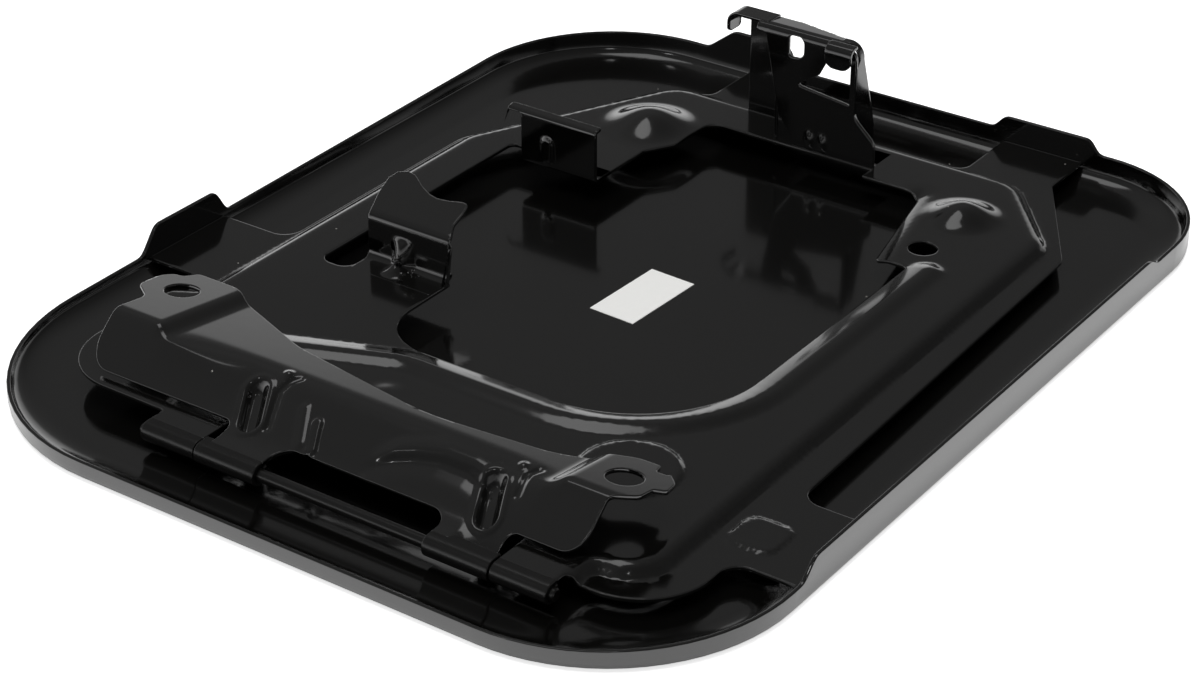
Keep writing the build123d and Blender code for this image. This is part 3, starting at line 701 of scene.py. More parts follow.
FIELD_OUTLINE = [
    (-80.5, -98.5, 0), (53.0, -98.5, 0), (53.0, -80.6, 1.1), (62.8, -80.6, 9), (61.6, 63.0, 9),
    (44.0, 84.4, 9), (-41.0, 84.4, 9), (-64.0, 37.0, 9), (-64.0, -46.0, 1.1), (-80.5, -55.0, 0),
]
BEAD_LINE = [(-38.6, -56.6, 0), (-13.3, -46.5, 13), (47.6, -46.5, 31.2), (47.6, 38.2, 0)]
BEAD_INNER = 4.2
BEAD_OUTER = 4.4
BEAD_FLANK = 1.25
ROLLED_EDGE = [(36.0, 38.2), (29.6, 67.4)]
ROLL_REACH = 4.2
ROLL_DROP = 1.0
DRAIN_HOLE = (42.0, 46.6, 2.95)
PANEL_BELLS = [(-33.5, 62.5, 11.5, 3.4), (42.0, 62.8, 9.3, 3.0), (-9.1, -57.6, 5.0, 0.4)]
BOLT_BOSS = (41.2, -53.5, 9.8, 0.7)
WELD_PAD = (69.0, -55.5, 10.0, 0.45)
FIELD_RUN = 4.2
FIELD_FOOT = 0.35
BOSS_RUN = 1.4
PAD_RUN = 0.8
PAD_POWER = 4
FORM_STEP = 50
GUIDE_STEP = 0.8
RING_STEP = 0.6
PANEL_EDGE_STEP = 0.9
PANEL_STEP = 0.85


def open_line(corners):
    """Open line through corners (x, y, radius), with tangent arcs at the inner ones."""
    places = np.array([corner[:2] for corner in corners], float)
    arcs = [corner_arc(b, p, a, c[2]) for b, p, a, c in zip(places, places[1:], places[2:], corners[1:])]
    return np.concatenate([places[:1], *arcs, places[-1:]])


def bead_profile(inward):
    """Section of the bead against the distance inwards from its crest: an almost straight flank down to the
    window, and a long bell on the other side."""
    inner = 1 - np.clip(inward / BEAD_INNER, 0, 1) ** BEAD_FLANK
    return np.where(inward > 0, inner, bell(inward / BEAD_OUTER))


def field_profile(t):
    """Edge of the field against the share of its run: a parabola at the top, and a rounded foot."""
    t = np.clip(t, 0, 1)
    return (1 - (1 - t) ** 2) * smooth_step(t / FIELD_FOOT)


def panel_surface(sizes):
    """Height of the inner panel over its plan: the rim's level, a rounded step up to the field, a bead along
    the window, bells for the domes, and plateaus for the bolt boss and the weld pad."""
    rim, field, bead = mm(sizes, "rim", "field", "bead")
    field_outline = rounded_outline(FIELD_OUTLINE, FORM_STEP)
    bead_line = open_line(BEAD_LINE)
    rolled = np.array(ROLLED_EDGE)

    def surface(x, y):
        places = np.stack([x, y], axis=1)
        z = rim + (field - rim) * field_profile(depth_inside(places, field_outline) / FIELD_RUN)
        z = z + bead * bead_profile(offset_from_line(places, bead_line))
        z = z - ROLL_DROP * np.clip(1 - distance_to_line(places, rolled) / ROLL_REACH, 0, 1) ** 2
        for bell_x, bell_y, radius, height in PANEL_BELLS:
            z = z + height * bell(np.hypot(x - bell_x, y - bell_y) / radius)
        boss_x, boss_y, boss_r, boss_h = BOLT_BOSS
        z = z + boss_h * smooth_step((boss_r - np.hypot(x - boss_x, y - boss_y)) / BOSS_RUN)
        pad_x, pad_y, pad_size, pad_h = WELD_PAD
        off_x, off_y = np.abs(x - pad_x) / pad_size * 2, np.abs(y - pad_y) / pad_size * 2
        off = (off_x ** PAD_POWER + off_y ** PAD_POWER) ** (1 / PAD_POWER)
        z = z + pad_h * smooth_step((1 - off) * pad_size / 2 / PAD_RUN)
        return np.stack([x, y, z], axis=1)
    return surface


def panel_guides():
    """Lines of mesh points along the panel's forms: field, bead, rolled edge, bells, boss and pad."""
    field = evenly(closed(rounded_outline(FIELD_OUTLINE, FORM_STEP)), GUIDE_STEP)
    bead = evenly(open_line(BEAD_LINE), GUIDE_STEP)
    rolled = evenly(np.array(ROLLED_EDGE), GUIDE_STEP)
    rings = [(x, y, r) for x, y, radius, height in PANEL_BELLS
             for r in np.arange(RING_STEP, radius + 0.5, RING_STEP)]
    boss_x, boss_y, boss_r, boss_h = BOLT_BOSS
    rings += [(boss_x, boss_y, boss_r - off) for off in np.linspace(0, BOSS_RUN, 5)]
    pad_x, pad_y, pad_size, pad_h = WELD_PAD
    angle = np.linspace(0, 2 * pi, 60, endpoint=False)
    ray = np.stack([np.cos(angle), np.sin(angle)], axis=1)
    square = ray / np.sum(ray ** PAD_POWER, axis=1)[:, None] ** (1 / PAD_POWER)
    guides = [beside(field, depth) for depth in np.linspace(0, FIELD_RUN, 12)]
    guides += [beside(bead, inward) for inward in np.linspace(-BEAD_OUTER, BEAD_INNER, 16)]
    guides += [beside(rolled, -off) for off in np.linspace(0.9, ROLL_REACH, 8)]
    guides += [round_hole(*ring, 0.7) for ring in rings]
    pad = np.array([pad_x, pad_y])
    return guides + [pad + square * (pad_size / 2 - off) for off in np.linspace(0, PAD_RUN, 4)]


class FUELDOOR_OT_panel(bpy.types.Operator):
    """Stamped inner panel with its window, bead, domes and weld ears"""
    bl_idname = "fueldoor.panel"
    bl_label = "Inner panel"

    def execute(self, context):
        sizes = context.scene.fuel_door_panel
        outline = rounded_outline(PANEL_OUTLINE, PANEL_EDGE_STEP)
        holes = [rounded_outline(WINDOW_OUTLINE, PANEL_EDGE_STEP), round_hole(*DRAIN_HOLE)]
        sheet = mm(sizes, "sheet")[0]
        piece = pressed_piece("inner_panel_sheet", outline, holes, PANEL_STEP, panel_surface(sizes), sheet,
                              panel_guides())
        finish_piece(piece, "door", paint(), ("inner_panel",))
        return {"FINISHED"}


# Clips and striker

# Front clip: outline of its lip, side view and gusset
CLIP_A_LIP = [
    (-24.9, 0.3), (-26.5, 3.5), (-26.8, 6.9), (-27.4, 9.4), (-29.0, 9.6), (-31.4, 8.9), (-34.2, 8.5),
    (-36.5, 9.0), (-39.2, 10.3), (-42.7, 12.6), (-44.6, 12.9), (-46.5, 12.0), (-47.2, 9.8), (-46.4, 5.5),
    (-44.6, 0.3),
]
CLIP_A_SIDES = (-44.6, -25.2)
CLIP_A_FOOT = 6.0
CLIP_A_LIFT = 0.02
CLIP_A_BENDS = (1.6, 1.8)
CLIP_A_FOLD_Z = 15.6
CLIP_A_END = (15.0, 19.92)
CLIP_A_CORNER = 0.8
GUSSET_X = -36.0
GUSSET_HALF_WIDTH = 3.0
GUSSET_REACH = 5.2
GUSSET_CROWN = 0.8
GUSSET_HEIGHT = 2.2
GUSSET_RISE = 1.0

# Rear clip: side view, wing and emboss
CLIP_B_SIDES = (-46.2, -27.4)
CLIP_B_FOOT = 5
CLIP_B_BENDS = (1.2, 0.8)
CLIP_B_FOLD_Z = 17.1
CLIP_B_END = (1.4, 17.4)
CLIP_B_WING_X = -49.6
CLIP_B_WING_Z = 16.5
EMBOSS_X = -39.5
EMBOSS_Z = 9.7
EMBOSS_STRAIGHT = 1.4
EMBOSS_RADIUS = 1.75
EMBOSS_RUN = 0.6
EMBOSS_HEIGHT = 0.5

CLIP_STEP = 0.6
CLIP_B_STEP = 0.5


def clip_a_bulge(corner):
    """Gusset of the front clip: a rib across the bend, crowned along the strip and rounded across it."""
    def bulge(x, distance):
        across = bell((x - GUSSET_X) / GUSSET_HALF_WIDTH)
        along = np.clip(1 - ((distance - corner) / GUSSET_REACH) ** 2, 0, 1) ** GUSSET_CROWN
        return GUSSET_HEIGHT * across * along
    return bulge


def clip_b_bulge(middle):
    """Oval emboss on the rear clip's face: a flat top with a soft step round it."""
    def bulge(x, distance):
        off = np.hypot(x - EMBOSS_X, np.clip(np.abs(distance - middle) - EMBOSS_STRAIGHT, 0, None))
        return EMBOSS_HEIGHT * smooth_step((EMBOSS_RADIUS - off) / EMBOSS_RUN)
    return bulge


class FUELDOOR_OT_clips(bpy.types.Operator):
    """The two cap clips that stand at the window's edge"""
    bl_idname = "fueldoor.clips"
    bl_label = "Cap clips"

    def execute(self, context):
        sheet, field = mm(context.scene.fuel_door_panel, "sheet", "field")
        foot_z = field + CLIP_A_LIFT
        line = BentLine([(clip_a_y - CLIP_A_FOOT, foot_z, 0), (clip_a_y, foot_z, CLIP_A_BENDS[0]),
                         (clip_a_y, CLIP_A_FOLD_Z, CLIP_A_BENDS[1]),
                         (clip_a_y + CLIP_A_END[0], CLIP_A_END[1], 0)])
        lip = line.reach(CLIP_A_FOLD_Z)
        corners = [(x, 0, 0) for x in CLIP_A_SIDES]
        corners += [(x, lip + along, CLIP_A_CORNER) for x, along in CLIP_A_LIP]
        surface = strip_surface(line, clip_a_bulge(line.reach(field + GUSSET_RISE)))
        front = strip_piece("cap_clip_front", corners, CLIP_STEP, surface, sheet)
        finish_piece(front, "door", paint())
        under = field - sheet
        face = clip_b_y - sheet
        line = BentLine([(clip_b_y + CLIP_B_FOOT, under, 0), (face, under, CLIP_B_BENDS[0]),
                         (face, CLIP_B_FOLD_Z, CLIP_B_BENDS[1]),
                         (clip_b_y + CLIP_B_END[0], CLIP_B_END[1], 0)])
        low = line.reach(CLIP_B_WING_Z)
        left, right = CLIP_B_SIDES
        corners = [(right, 0, 0), (right, line.end, 0.3), (CLIP_B_WING_X, line.end, 0.4),
                   (CLIP_B_WING_X, low, 0.3), (left, low, 0.3), (left, 0, 0)]
        surface = strip_surface(line, clip_b_bulge(line.reach(EMBOSS_Z)))
        outline = rounded_outline(corners, CLIP_STEP)
        rear = pressed_piece("cap_clip_rear", outline, [], CLIP_B_STEP, surface, sheet)
        finish_piece(rear, "door", paint())
        return {"FINISHED"}


STRIKER_OPENING = [(4.3, 27.9, 0.4), (9.6, 27.9, 0.4), (9.6, 18.6, 0.4), (-3.2, 20.1, 0.4), (2.1, 23.5, 0.4)]
STRIKER_SLOT = [(-5.2, 25.9, 0.8), (-1.6, 26.2, 1.7), (-1.6, 30.9, 1.7), (-5.2, 30.9, 0.8)]
STRIKER_LEFT = [(-3.6, 7.2, 1), (-7.3, 12.5, 2), (-10.9, 29.6, 0.6), (-13.2, 29.9, 0.6)]
STRIKER_RIGHT = [(11.0, 16.1, 3), (16.0, 11.5, 3)]
STRIKER_CAP = (-13.2, -6.0)
STRIKER_BACK = 77.6
STRIKER_FOOT = 8
STRIKER_BENDS = (1.4, 1.6)
CAP_FALL = 0.5
CAP_TAPER = 2.6
CAP_LAP = 0.04
EAVE_DROP = 0.4
FOOT_DARTS = (0.6, 3.7)
FOOT_DART_SIZE = (1.2, 2.6, 0.5)
FOOT_DART_Z = 8.4
striker_right, striker_shoulder = 11.0, 3.2
SIDE_REAR_Y = 80.4
HOOK_SIDES = (-11.0, -21.4)
HOOK_FRONT = 73.0
HOOK_LOW_Z = 27.1
HOOK_BEND = 2.6
BRACE_PLAN = [(-7.7, striker_y - 0.2, 0), (-7.7, 84.8, 1.8), (-22.3, 84.8, 0)]
BRACE_FOOT_Z = 4.3
BRACE_TOP_Z = 27.0
BRACE_NOTCH = [(20.3, 27.0, 0.6), (19.6, 16.8, 2), (9.4, 18.6, 2), (2.8, 23.0, 2), (2.2, 27.0, 0.5)]
NOSE_SIDES = (4.4, 10.6)
NOSE_LOW_Z = 26.8
PLATE_STEP = 0.6
SMALL_STEP = 0.5


def striker_bulge(middle):
    """Two small darts at the striker's foot."""
    wide, long, height = FOOT_DART_SIZE

    def bulge(x, distance):
        return sum(height * bell(np.hypot((x - at) / wide, (distance - middle) / long)) for at in FOOT_DARTS)
    return bulge


def side_strip_surface(line):
    """Strip whose profile (x, z) is given by length, drawn out along Y."""
    def surface(y, distance):
        x, z = line.at(distance)
        return np.stack([x, y, z], axis=1)
    return surface


def upright_strip_surface(line):
    """Upright strip whose plan (x, y) is given by length."""
    def surface(distance, z):
        x, y = line.at(distance)
        return np.stack([x, y, z], axis=1)
    return surface


class FUELDOOR_OT_striker(bpy.types.Operator):
    """Latch striker with its openings, cap, hook and side walls"""
    bl_idname = "fueldoor.striker"
    bl_label = "Latch striker"

    def execute(self, context):
        sheet, field, top = mm(context.scene.fuel_door_panel, "sheet", "field", "striker")
        face = striker_y - sheet
        back = STRIKER_BACK
        line = BentLine([(face + STRIKER_FOOT, field - sheet, 0), (face, field - sheet, STRIKER_BENDS[0]),
                         (face, top, STRIKER_BENDS[1]), (back, top - CAP_FALL, 0)])
        inner = striker_right - striker_shoulder
        eave = line.reach(top - EAVE_DROP)
        corners = [(STRIKER_LEFT[0][0], 0, 0)] + raised(line, STRIKER_LEFT)
        corners += [(STRIKER_CAP[0], line.end, 0.3), (STRIKER_CAP[1], line.end, 0)]
        corners += [(inner, line.end - CAP_TAPER, 0.2), (inner, eave, 0), (striker_right, eave, 3.0)]
        corners += raised(line, STRIKER_RIGHT) + [(STRIKER_RIGHT[1][0], 0, 0)]
        outline = rounded_outline(corners, PLATE_STEP)
        holes = [rounded_outline(raised(line, hole), SMALL_STEP) for hole in (STRIKER_OPENING, STRIKER_SLOT)]
        surface = strip_surface(line, striker_bulge(line.reach(FOOT_DART_Z)))
        plate = pressed_piece("striker_plate", outline, holes, PLATE_STEP, surface, sheet)
        lapped = top - CAP_LAP
        line = BentLine([(striker_right, field, 0), (striker_right, lapped, striker_shoulder),
                         (inner - 1.5, lapped, 0)])
        rear = back - CAP_TAPER
        corners = [(face + 0.3, 0, 0), (SIDE_REAR_Y, 0, 0), (SIDE_REAR_Y, line.reach(11.5), 1),
                   (rear, line.reach(28.3), 1), (rear, line.end, 0), (face + 1.7, line.end, 0),
                   (face + 1.7, line.reach(28.7), 0.6), (face + 0.3, line.reach(27.0), 0.6)]
        side = strip_piece("striker_side", corners, PLATE_STEP, side_strip_surface(line), sheet)
        hook_start, hook_end = HOOK_SIDES
        line = BentLine([(hook_start, lapped, 0), (hook_end, lapped, HOOK_BEND), (hook_end, HOOK_LOW_Z, 0)])
        corners = [(HOOK_FRONT, 0, 0), (back, 0, 0), (back, line.end, 1), (HOOK_FRONT, line.end, 1)]
        hook = strip_piece("striker_hook", corners, SMALL_STEP, side_strip_surface(line), sheet)
        line = BentLine(BRACE_PLAN)
        corners = [(0, BRACE_FOOT_Z, 0), (line.end, BRACE_FOOT_Z, 0), (line.end, BRACE_TOP_Z, 1)]
        corners += BRACE_NOTCH + [(0, BRACE_TOP_Z, 0)]
        brace = strip_piece("striker_brace", corners, PLATE_STEP, upright_strip_surface(line), sheet)
        under = top - sheet - CAP_LAP
        line = BentLine([(face + 1.0, under, 0), (face - 1.2, under, 1.1), (face - 1.0, NOSE_LOW_Z, 0)])
        left, right = NOSE_SIDES
        corners = [(left, 0, 0), (right, 0, 0), (right, line.end, 2.4), (left, line.end, 2.2)]
        nose = strip_piece("striker_nose", corners, SMALL_STEP, strip_surface(line), sheet)
        for piece in (plate, side, hook, brace, nose):
            finish_piece(piece, "door", paint())
        return {"FINISHED"}


# Hinge

CURL_DEGREES = (395, 90)
CURL_POINTS = 60
KNUCKLE_EDGE_STEP = 0.5
KNUCKLE_STEP = 0.45
PANEL_STRAP_Y = -87.5
BRACKET_STRAP_Y = -87.0
PIN_CLEARANCE = 0.05


def knuckle_piece(name, x_from, x_to, outer_r, sheet, strap_y):
    """Rolled knuckle: a strap runs forward at the pin's top and curls round it, drawn out along X."""
    curl = np.radians(np.linspace(*CURL_DEGREES, CURL_POINTS))
    y = np.concatenate([pin_y + outer_r * np.cos(curl), [strap_y]])
    z = np.concatenate([pin_z + outer_r * np.sin(curl), [pin_z + outer_r]])
    along = np.concatenate([[0], np.cumsum(np.hypot(np.diff(y), np.diff(z)))])

    def surface(x, distance):
        return np.stack([x, np.interp(distance, along, y), np.interp(distance, along, z)], axis=1)

    corners = [(x_from, 0, 0), (x_to, 0, 0), (x_to, along[-1], 0), (x_from, along[-1], 0)]
    outline = rounded_outline(corners, KNUCKLE_EDGE_STEP)
    return pressed_piece(name, outline, [], KNUCKLE_STEP, surface, sheet)


class FUELDOOR_OT_hinge(bpy.types.Operator):
    """Knuckles of the panel and of the bracket, and the pin through them"""
    bl_idname = "fueldoor.hinge"
    bl_label = "Hinge knuckles"

    def execute(self, context):
        panel_t = mm(context.scene.fuel_door_panel, "sheet")[0]
        pin_r = (pin_high[2] - pin_low[2]) / 2
        outer_r = pin_r + panel_t
        ends = ((knuckle_left, knuckle_left_split - knuckle_gap), (knuckle_right_split, knuckle_right))
        for side, (x_from, x_to) in zip(("left", "right"), ends):
            piece = knuckle_piece(f"panel_knuckle_{side}", x_from, x_to, outer_r, panel_t, PANEL_STRAP_Y)
            finish_piece(piece, "door", dull_paint())
        bracket_t = mm(context.scene.fuel_door_bracket, "sheet")[0]
        outer_r = pin_r + PIN_CLEARANCE + bracket_t
        ends = ((knuckle_left_split, knuckle_left_end),
                (knuckle_right_start, knuckle_right_split - knuckle_gap))
        for side, (x_from, x_to) in zip(("left", "right"), ends):
            name = f"bracket_knuckle_{side}"
            piece = knuckle_piece(name, x_from, x_to, outer_r, bracket_t, BRACKET_STRAP_Y)
            finish_piece(piece, "bracket", dull_paint())
        frame["nodes"]["hinge_pin"].data.materials.clear()
        frame["nodes"]["hinge_pin"].data.materials.append(dull_paint())
        return {"FINISHED"}


# Hinge bracket

BRACKET_OUTLINE = [
    (-58.8, -82.2, 5), (-58.8, -65.6, 3), (-63.6, -62.2, 2.5), (-63.9, -56.0, 3), (-62.4, -53.9, 0.8),
    (-60.6, -53.5, 0.6), (-59.2, -50.6, 1.0), (-50.0, -50.6, 7.5), (-26.0, -60.9, 20), (8.0, -67.2, 40),
    (33.0, -64.4, 20), (46.5, -58.3, 5), (50.8, -58.2, 0.6), (51.4, -60.6, 0.7), (53.4, -60.6, 0.7),
    (54.0, -59.9, 0.5), (56.4, -62.3, 2), (57.0, -65.6, 0.8), (54.9, -66.6, 0.6), (54.8, -70.2, 2),
    (50.8, -73.5, 2), (50.8, -82.2, 4), (37.0, -82.2, 1.7), (37.0, -88.2, 0), (25.2, -88.2, 0),
    (25.2, -83.2, 3.5), (-11.5, -83.2, 3.5), (-11.5, -88.2, 0), (-23.3, -88.2, 0), (-23.3, -82.2, 1.7),
]
BOLT_HOLES = [(-55.9, -59.0), (48.8, -66.1)]
BRACKET_DARTS = [((-22.9, -75.9), (-20.1, -81.4)), ((29.5, -76.2), (31.8, -81.6))]
BRACKET_STATIONS = [-48.1, -45.4, -26.0, 29.0, 38.9, 41.6]
BRACKET_DIMPLES = [(-19.8, -71.0), (32.0, -71.6)]
BRACKET_CREASES = [
    [(-16.2, -81.0), (-18.7, -74.5), (-18.2, -72.5), (-17.0, -70.9)],
    [(35.0, -77.1), (34.2, -73.2), (35.1, -71.2)],
]
BRACKET_TONGUE = [(-8.0, -77.6), (-5.7, -82.2)]
BRACKET_STRIP = [(-12.0, -76.0), (-8.6, -81.8)]
CREST_X = [6.5, 9.5, 13.0, 18.0, 24.0, 28.5]
CREST_Y = [-78.6, -77.0, -75.7, -74.6, -74.6, -75.6]
leg_top_z = pin_z + 2.1
web_low_z = 6.9

# Side views: their grid step, folds, front slope and the smoothing of ears, saddle and changes along X
VIEW_STEP = 0.1
EAR_FOLD_Y = -73.5
SADDLE_FOLD_Y = -71.5
FRONT_SLOPE = radians(41.4)
EAR_SMOOTHING = 2.2
SADDLE_SMOOTHING = 3.8
STATION_SMOOTHING = 1.3

# Bulge on the web: height and reach behind its crest, then before it, and its two ends as place and run
BULGE_REAR = (0.7, 4.0)
BULGE_FRONT = (1.3, 2.0)
BULGE_HOLLOW = (0.6, 6.0)
BULGE_START = (4.5, 5)
BULGE_END = (30.5, 3.5)

# Small forms: flat width and wall of a dart, its lip, and heights and reaches of the others
DART_CORE = 0.8
DART_WALL = 1.4
DART_LIP = (0.3, 2.5, 1.0)
CREASE = (0.45, 1.2)
DIMPLE = (0.5, 1.5)
TONGUE = (0.4, 1.2, 0.5)
STRIP = (0.3, 1.6)
BRACKET_EDGE_STEP = 0.5
BRACKET_STEP = 0.42


def spread(values, step, radius):
    """Values on an even grid, smoothed by a bell of the given radius."""
    reach = np.arange(-radius, radius + step / 2, step)
    weights = bell(reach / (radius * 1.01))
    padded = np.pad(values, len(reach) // 2, mode="edge")
    return np.convolve(padded, weights / weights.sum(), mode="valid")


def bracket_surface(sizes):
    """Height of the bracket over its plan: three side views, ear, step and saddle, blended along X. The ears
    lie in one plane that leans down to the rear, and the saddle lies one step below it. Darts, creases,
    dimples and a bulge on the web are added."""
    ear, ear_step, dart = mm(sizes, "ear", "ear_step", "dart")
    y_grid = np.arange(-95, -40, VIEW_STEP)
    lean = tan(sizes.lean)
    bolt_y = BOLT_HOLES[0][1]
    plane = ear - (y_grid - bolt_y) * lean
    front = ear - (EAR_FOLD_Y - bolt_y) * lean + (y_grid - EAR_FOLD_Y) * tan(FRONT_SLOPE)
    fold_z = ear - (SADDLE_FOLD_Y - bolt_y) * lean - ear_step
    web = np.interp(y_grid, [-95, -87, -83.6, SADDLE_FOLD_Y], [leg_top_z, leg_top_z, web_low_z, fold_z])
    ear_view = spread(np.minimum(plane, front), VIEW_STEP, EAR_SMOOTHING)
    step_view = spread(np.minimum(plane - ear_step, front), VIEW_STEP, EAR_SMOOTHING)
    saddle_view = spread(np.where(y_grid > SADDLE_FOLD_Y, plane - ear_step, web), VIEW_STEP, SADDLE_SMOOTHING)
    x_grid = np.arange(-80, 80, VIEW_STEP)
    shares = [spread(np.interp(x_grid, BRACKET_STATIONS, share_at), VIEW_STEP, STATION_SMOOTHING)
              for share_at in ([1, 0, 0, 0, 0, 1], [0, 1, 0, 0, 1, 0], [0, 0, 1, 1, 0, 0])]
    views = (ear_view, step_view, saddle_view)

    def surface(x, y):
        places = np.stack([x, y], axis=1)

        def away(line):
            return distance_to_line(places, np.array(line))

        def mound(form, off):
            return form[0] * bell(off / form[1])

        z = sum(np.interp(x, x_grid, share_of) * np.interp(y, y_grid, view)
                for share_of, view in zip(shares, views))
        past = y - np.interp(x, CREST_X, CREST_Y)
        before = mound(BULGE_FRONT, past) - mound(BULGE_HOLLOW, past)
        bulge = np.where(past > 0, mound(BULGE_REAR, past), before)
        starts = smooth_step((x - BULGE_START[0]) / BULGE_START[1])
        z = z + bulge * starts * smooth_step((BULGE_END[0] - x) / BULGE_END[1])
        for dart_line in BRACKET_DARTS:
            off = away(dart_line)
            lip = DART_LIP[0] * bell((off - DART_LIP[1]) / DART_LIP[2])
            z = z - dart * (1 - smooth_step((off - DART_CORE) / DART_WALL)) + lip
        for crease in BRACKET_CREASES:
            z = z - mound(CREASE, away(crease))
        for dimple_x, dimple_y in BRACKET_DIMPLES:
            z = z + mound(DIMPLE, np.hypot(x - dimple_x, y - dimple_y))
        z = z + TONGUE[0] * smooth_step((TONGUE[1] - away(BRACKET_TONGUE)) / TONGUE[2])
        z = z + mound(STRIP, away(BRACKET_STRIP))
        return np.stack([x, y, z], axis=1)
    return surface


class FUELDOOR_OT_bracket(bpy.types.Operator):
    """Pressed hinge bracket with two bolt ears, a saddle and two darts"""
    bl_idname = "fueldoor.bracket"
    bl_label = "Hinge bracket"

    def execute(self, context):
        sizes = context.scene.fuel_door_bracket
        sheet, bolt_hole = mm(sizes, "sheet", "bolt_hole")
        holes = [round_hole(x, y, bolt_hole / 2) for x, y in BOLT_HOLES]
        outline = rounded_outline(BRACKET_OUTLINE, BRACKET_EDGE_STEP)
        piece = pressed_piece("bracket_sheet", outline, holes, BRACKET_STEP, bracket_surface(sizes), sheet)
        finish_piece(piece, "bracket", paint(), ("hinge_bracket",))
        return {"FINISHED"}


# Label

class FUELDOOR_OT_label(bpy.types.Operator):
    """Paper finish of the blank label"""
    bl_idname = "fueldoor.label"
    bl_label = "Blank label"

    def execute(self, context):
        label = frame["nodes"]["blank_label"]
        label.data.materials.clear()
        label.data.materials.append(label_paper(context.scene.fuel_door_finish))
        return {"FINISHED"}


# Stage

PICTURE = (1200, 681)
CAMERA_AZIMUTH = 34.762
CAMERA_ELEVATION = 29.020
CAMERA_ROLL = 0.231
CAMERA_DISTANCE = 0.554731
FOCAL_PIXELS = 2879.264
PRINCIPAL_POINT = (610.96, 310.03)
SENSOR_WIDTH = 36
CLIP_RANGE = (0.01, 20)


def make_camera():
    """Camera on a sphere round the origin, with a small roll and the picture's focal length and centre."""
    data = bpy.data.cameras.new("picture_camera")
    camera = bpy.data.objects.new("picture_camera", data)
    bpy.context.scene.collection.objects.link(camera)
    azimuth, elevation = radians(CAMERA_AZIMUTH), radians(CAMERA_ELEVATION)
    back = Vector((sin(azimuth) * cos(elevation), -cos(azimuth) * cos(elevation), sin(elevation)))
    roll = Matrix.Rotation(radians(CAMERA_ROLL), 4, "Z")
    turn = (-back).to_track_quat("-Z", "Y").to_matrix().to_4x4() @ roll
    camera.matrix_world = Matrix.Translation(back * CAMERA_DISTANCE) @ turn
    data.sensor_width = SENSOR_WIDTH
    data.lens = SENSOR_WIDTH * FOCAL_PIXELS / PICTURE[0]
    data.shift_x = (PICTURE[0] / 2 - PRINCIPAL_POINT[0]) / PICTURE[0]
    data.shift_y = (PRINCIPAL_POINT[1] - PICTURE[1] / 2) / PICTURE[0]
    data.clip_start, data.clip_end = CLIP_RANGE
    bpy.context.scene.camera = camera


FLOOR_SIZE = 3.0
FLOOR_DROP = 0.0002
FLOOR_SEEN = 0.75
FLOOR_MIRRORED = 0.12


def make_floor(look):
    """Pale floor: it takes the shadow, and a plain glow for seen and mirrored rays brings it up to white."""
    corners = [(x * FLOOR_SIZE, y * FLOOR_SIZE, 0) for x, y in ((-1, -1), (1, -1), (1, 1), (-1, 1))]
    mesh = bpy.data.meshes.new("studio_floor")
    mesh.from_pydata(corners, [], [(0, 1, 2, 3)])
    floor = bpy.data.objects.new("studio_floor", mesh)
    floor.location.z = -FLOOR_DROP
    bpy.context.scene.collection.objects.link(floor)
    finish, tree, shader = new_finish("studio_floor")
    set_inputs(shader, Base_Color=(*look.floor, 1), Roughness=0.9, Specular_IOR_Level=0.0,
               Emission_Color=(1, 1, 1, 1))
    path = tree.nodes.new("ShaderNodeLightPath")
    seen = math_node(tree, "MULTIPLY", path.outputs["Is Camera Ray"], FLOOR_SEEN)
    mirrored = math_node(tree, "MAXIMUM", path.outputs["Is Glossy Ray"], path.outputs["Is Transmission Ray"])
    glow = math_node(tree, "MAXIMUM", seen, math_node(tree, "MULTIPLY", mirrored, FLOOR_MIRRORED))
    tree.links.new(glow, shader.inputs["Emission Strength"])
    mesh.materials.append(finish)


SKY_STOPS = [
    (0.0, 0.95), (0.14, 0.80), (0.255, 0.50), (0.285, 0.40), (0.312, 0.15), (0.335, 0.10), (0.48, 0.09),
    (0.65, 0.12), (1.0, 0.12),
]
SIDE_STOPS = [(0.0, 1.25), (0.35, 1.0), (0.6, 0.6), (1.0, 0.5)]


def ramp_node(tree, socket, stops):
    """Grey ramp through stops (place, level), read at a socket."""
    top = max(level for place_at, level in stops)
    ramp = tree.nodes.new("ShaderNodeValToRGB")
    tree.links.new(socket, ramp.inputs["Fac"])
    while len(ramp.color_ramp.elements) < len(stops):
        ramp.color_ramp.elements.new(1.0)
    for element, (place_at, level) in zip(ramp.color_ramp.elements, stops):
        element.position = place_at
        element.color = (level / top, level / top, level / top, 1)
    return math_node(tree, "MULTIPLY", ramp.outputs["Color"], top)


def make_sky():
    """Studio surroundings: a white sweep up to a low edge, and a dim room above it that darkens to the right.
    The camera sees plain white."""
    world = bpy.data.worlds.new("studio")
    bpy.context.scene.world = world
    world.use_nodes = True
    tree = world.node_tree
    tree.nodes.clear()
    output = tree.nodes.new("ShaderNodeOutputWorld")
    background = tree.nodes.new("ShaderNodeBackground")
    tree.links.new(background.outputs["Background"], output.inputs["Surface"])
    place = tree.nodes.new("ShaderNodeTexCoord")
    split = tree.nodes.new("ShaderNodeSeparateXYZ")
    tree.links.new(place.outputs["Generated"], split.inputs["Vector"])
    height_level = ramp_node(tree, split.outputs["Z"], SKY_STOPS)
    sideways = math_node(tree, "MULTIPLY_ADD", split.outputs["X"], 0.5)
    sideways.node.inputs[2].default_value = 0.5
    room = math_node(tree, "MULTIPLY", height_level, ramp_node(tree, sideways, SIDE_STOPS))
    path = tree.nodes.new("ShaderNodeLightPath")
    shown = tree.nodes.new("ShaderNodeMix")
    tree.links.new(path.outputs["Is Camera Ray"], shown.inputs["Factor"])
    tree.links.new(room, shown.inputs["A"])
    shown.inputs["B"].default_value = 1.0
    tree.links.new(shown.outputs["Result"], background.inputs["Strength"])


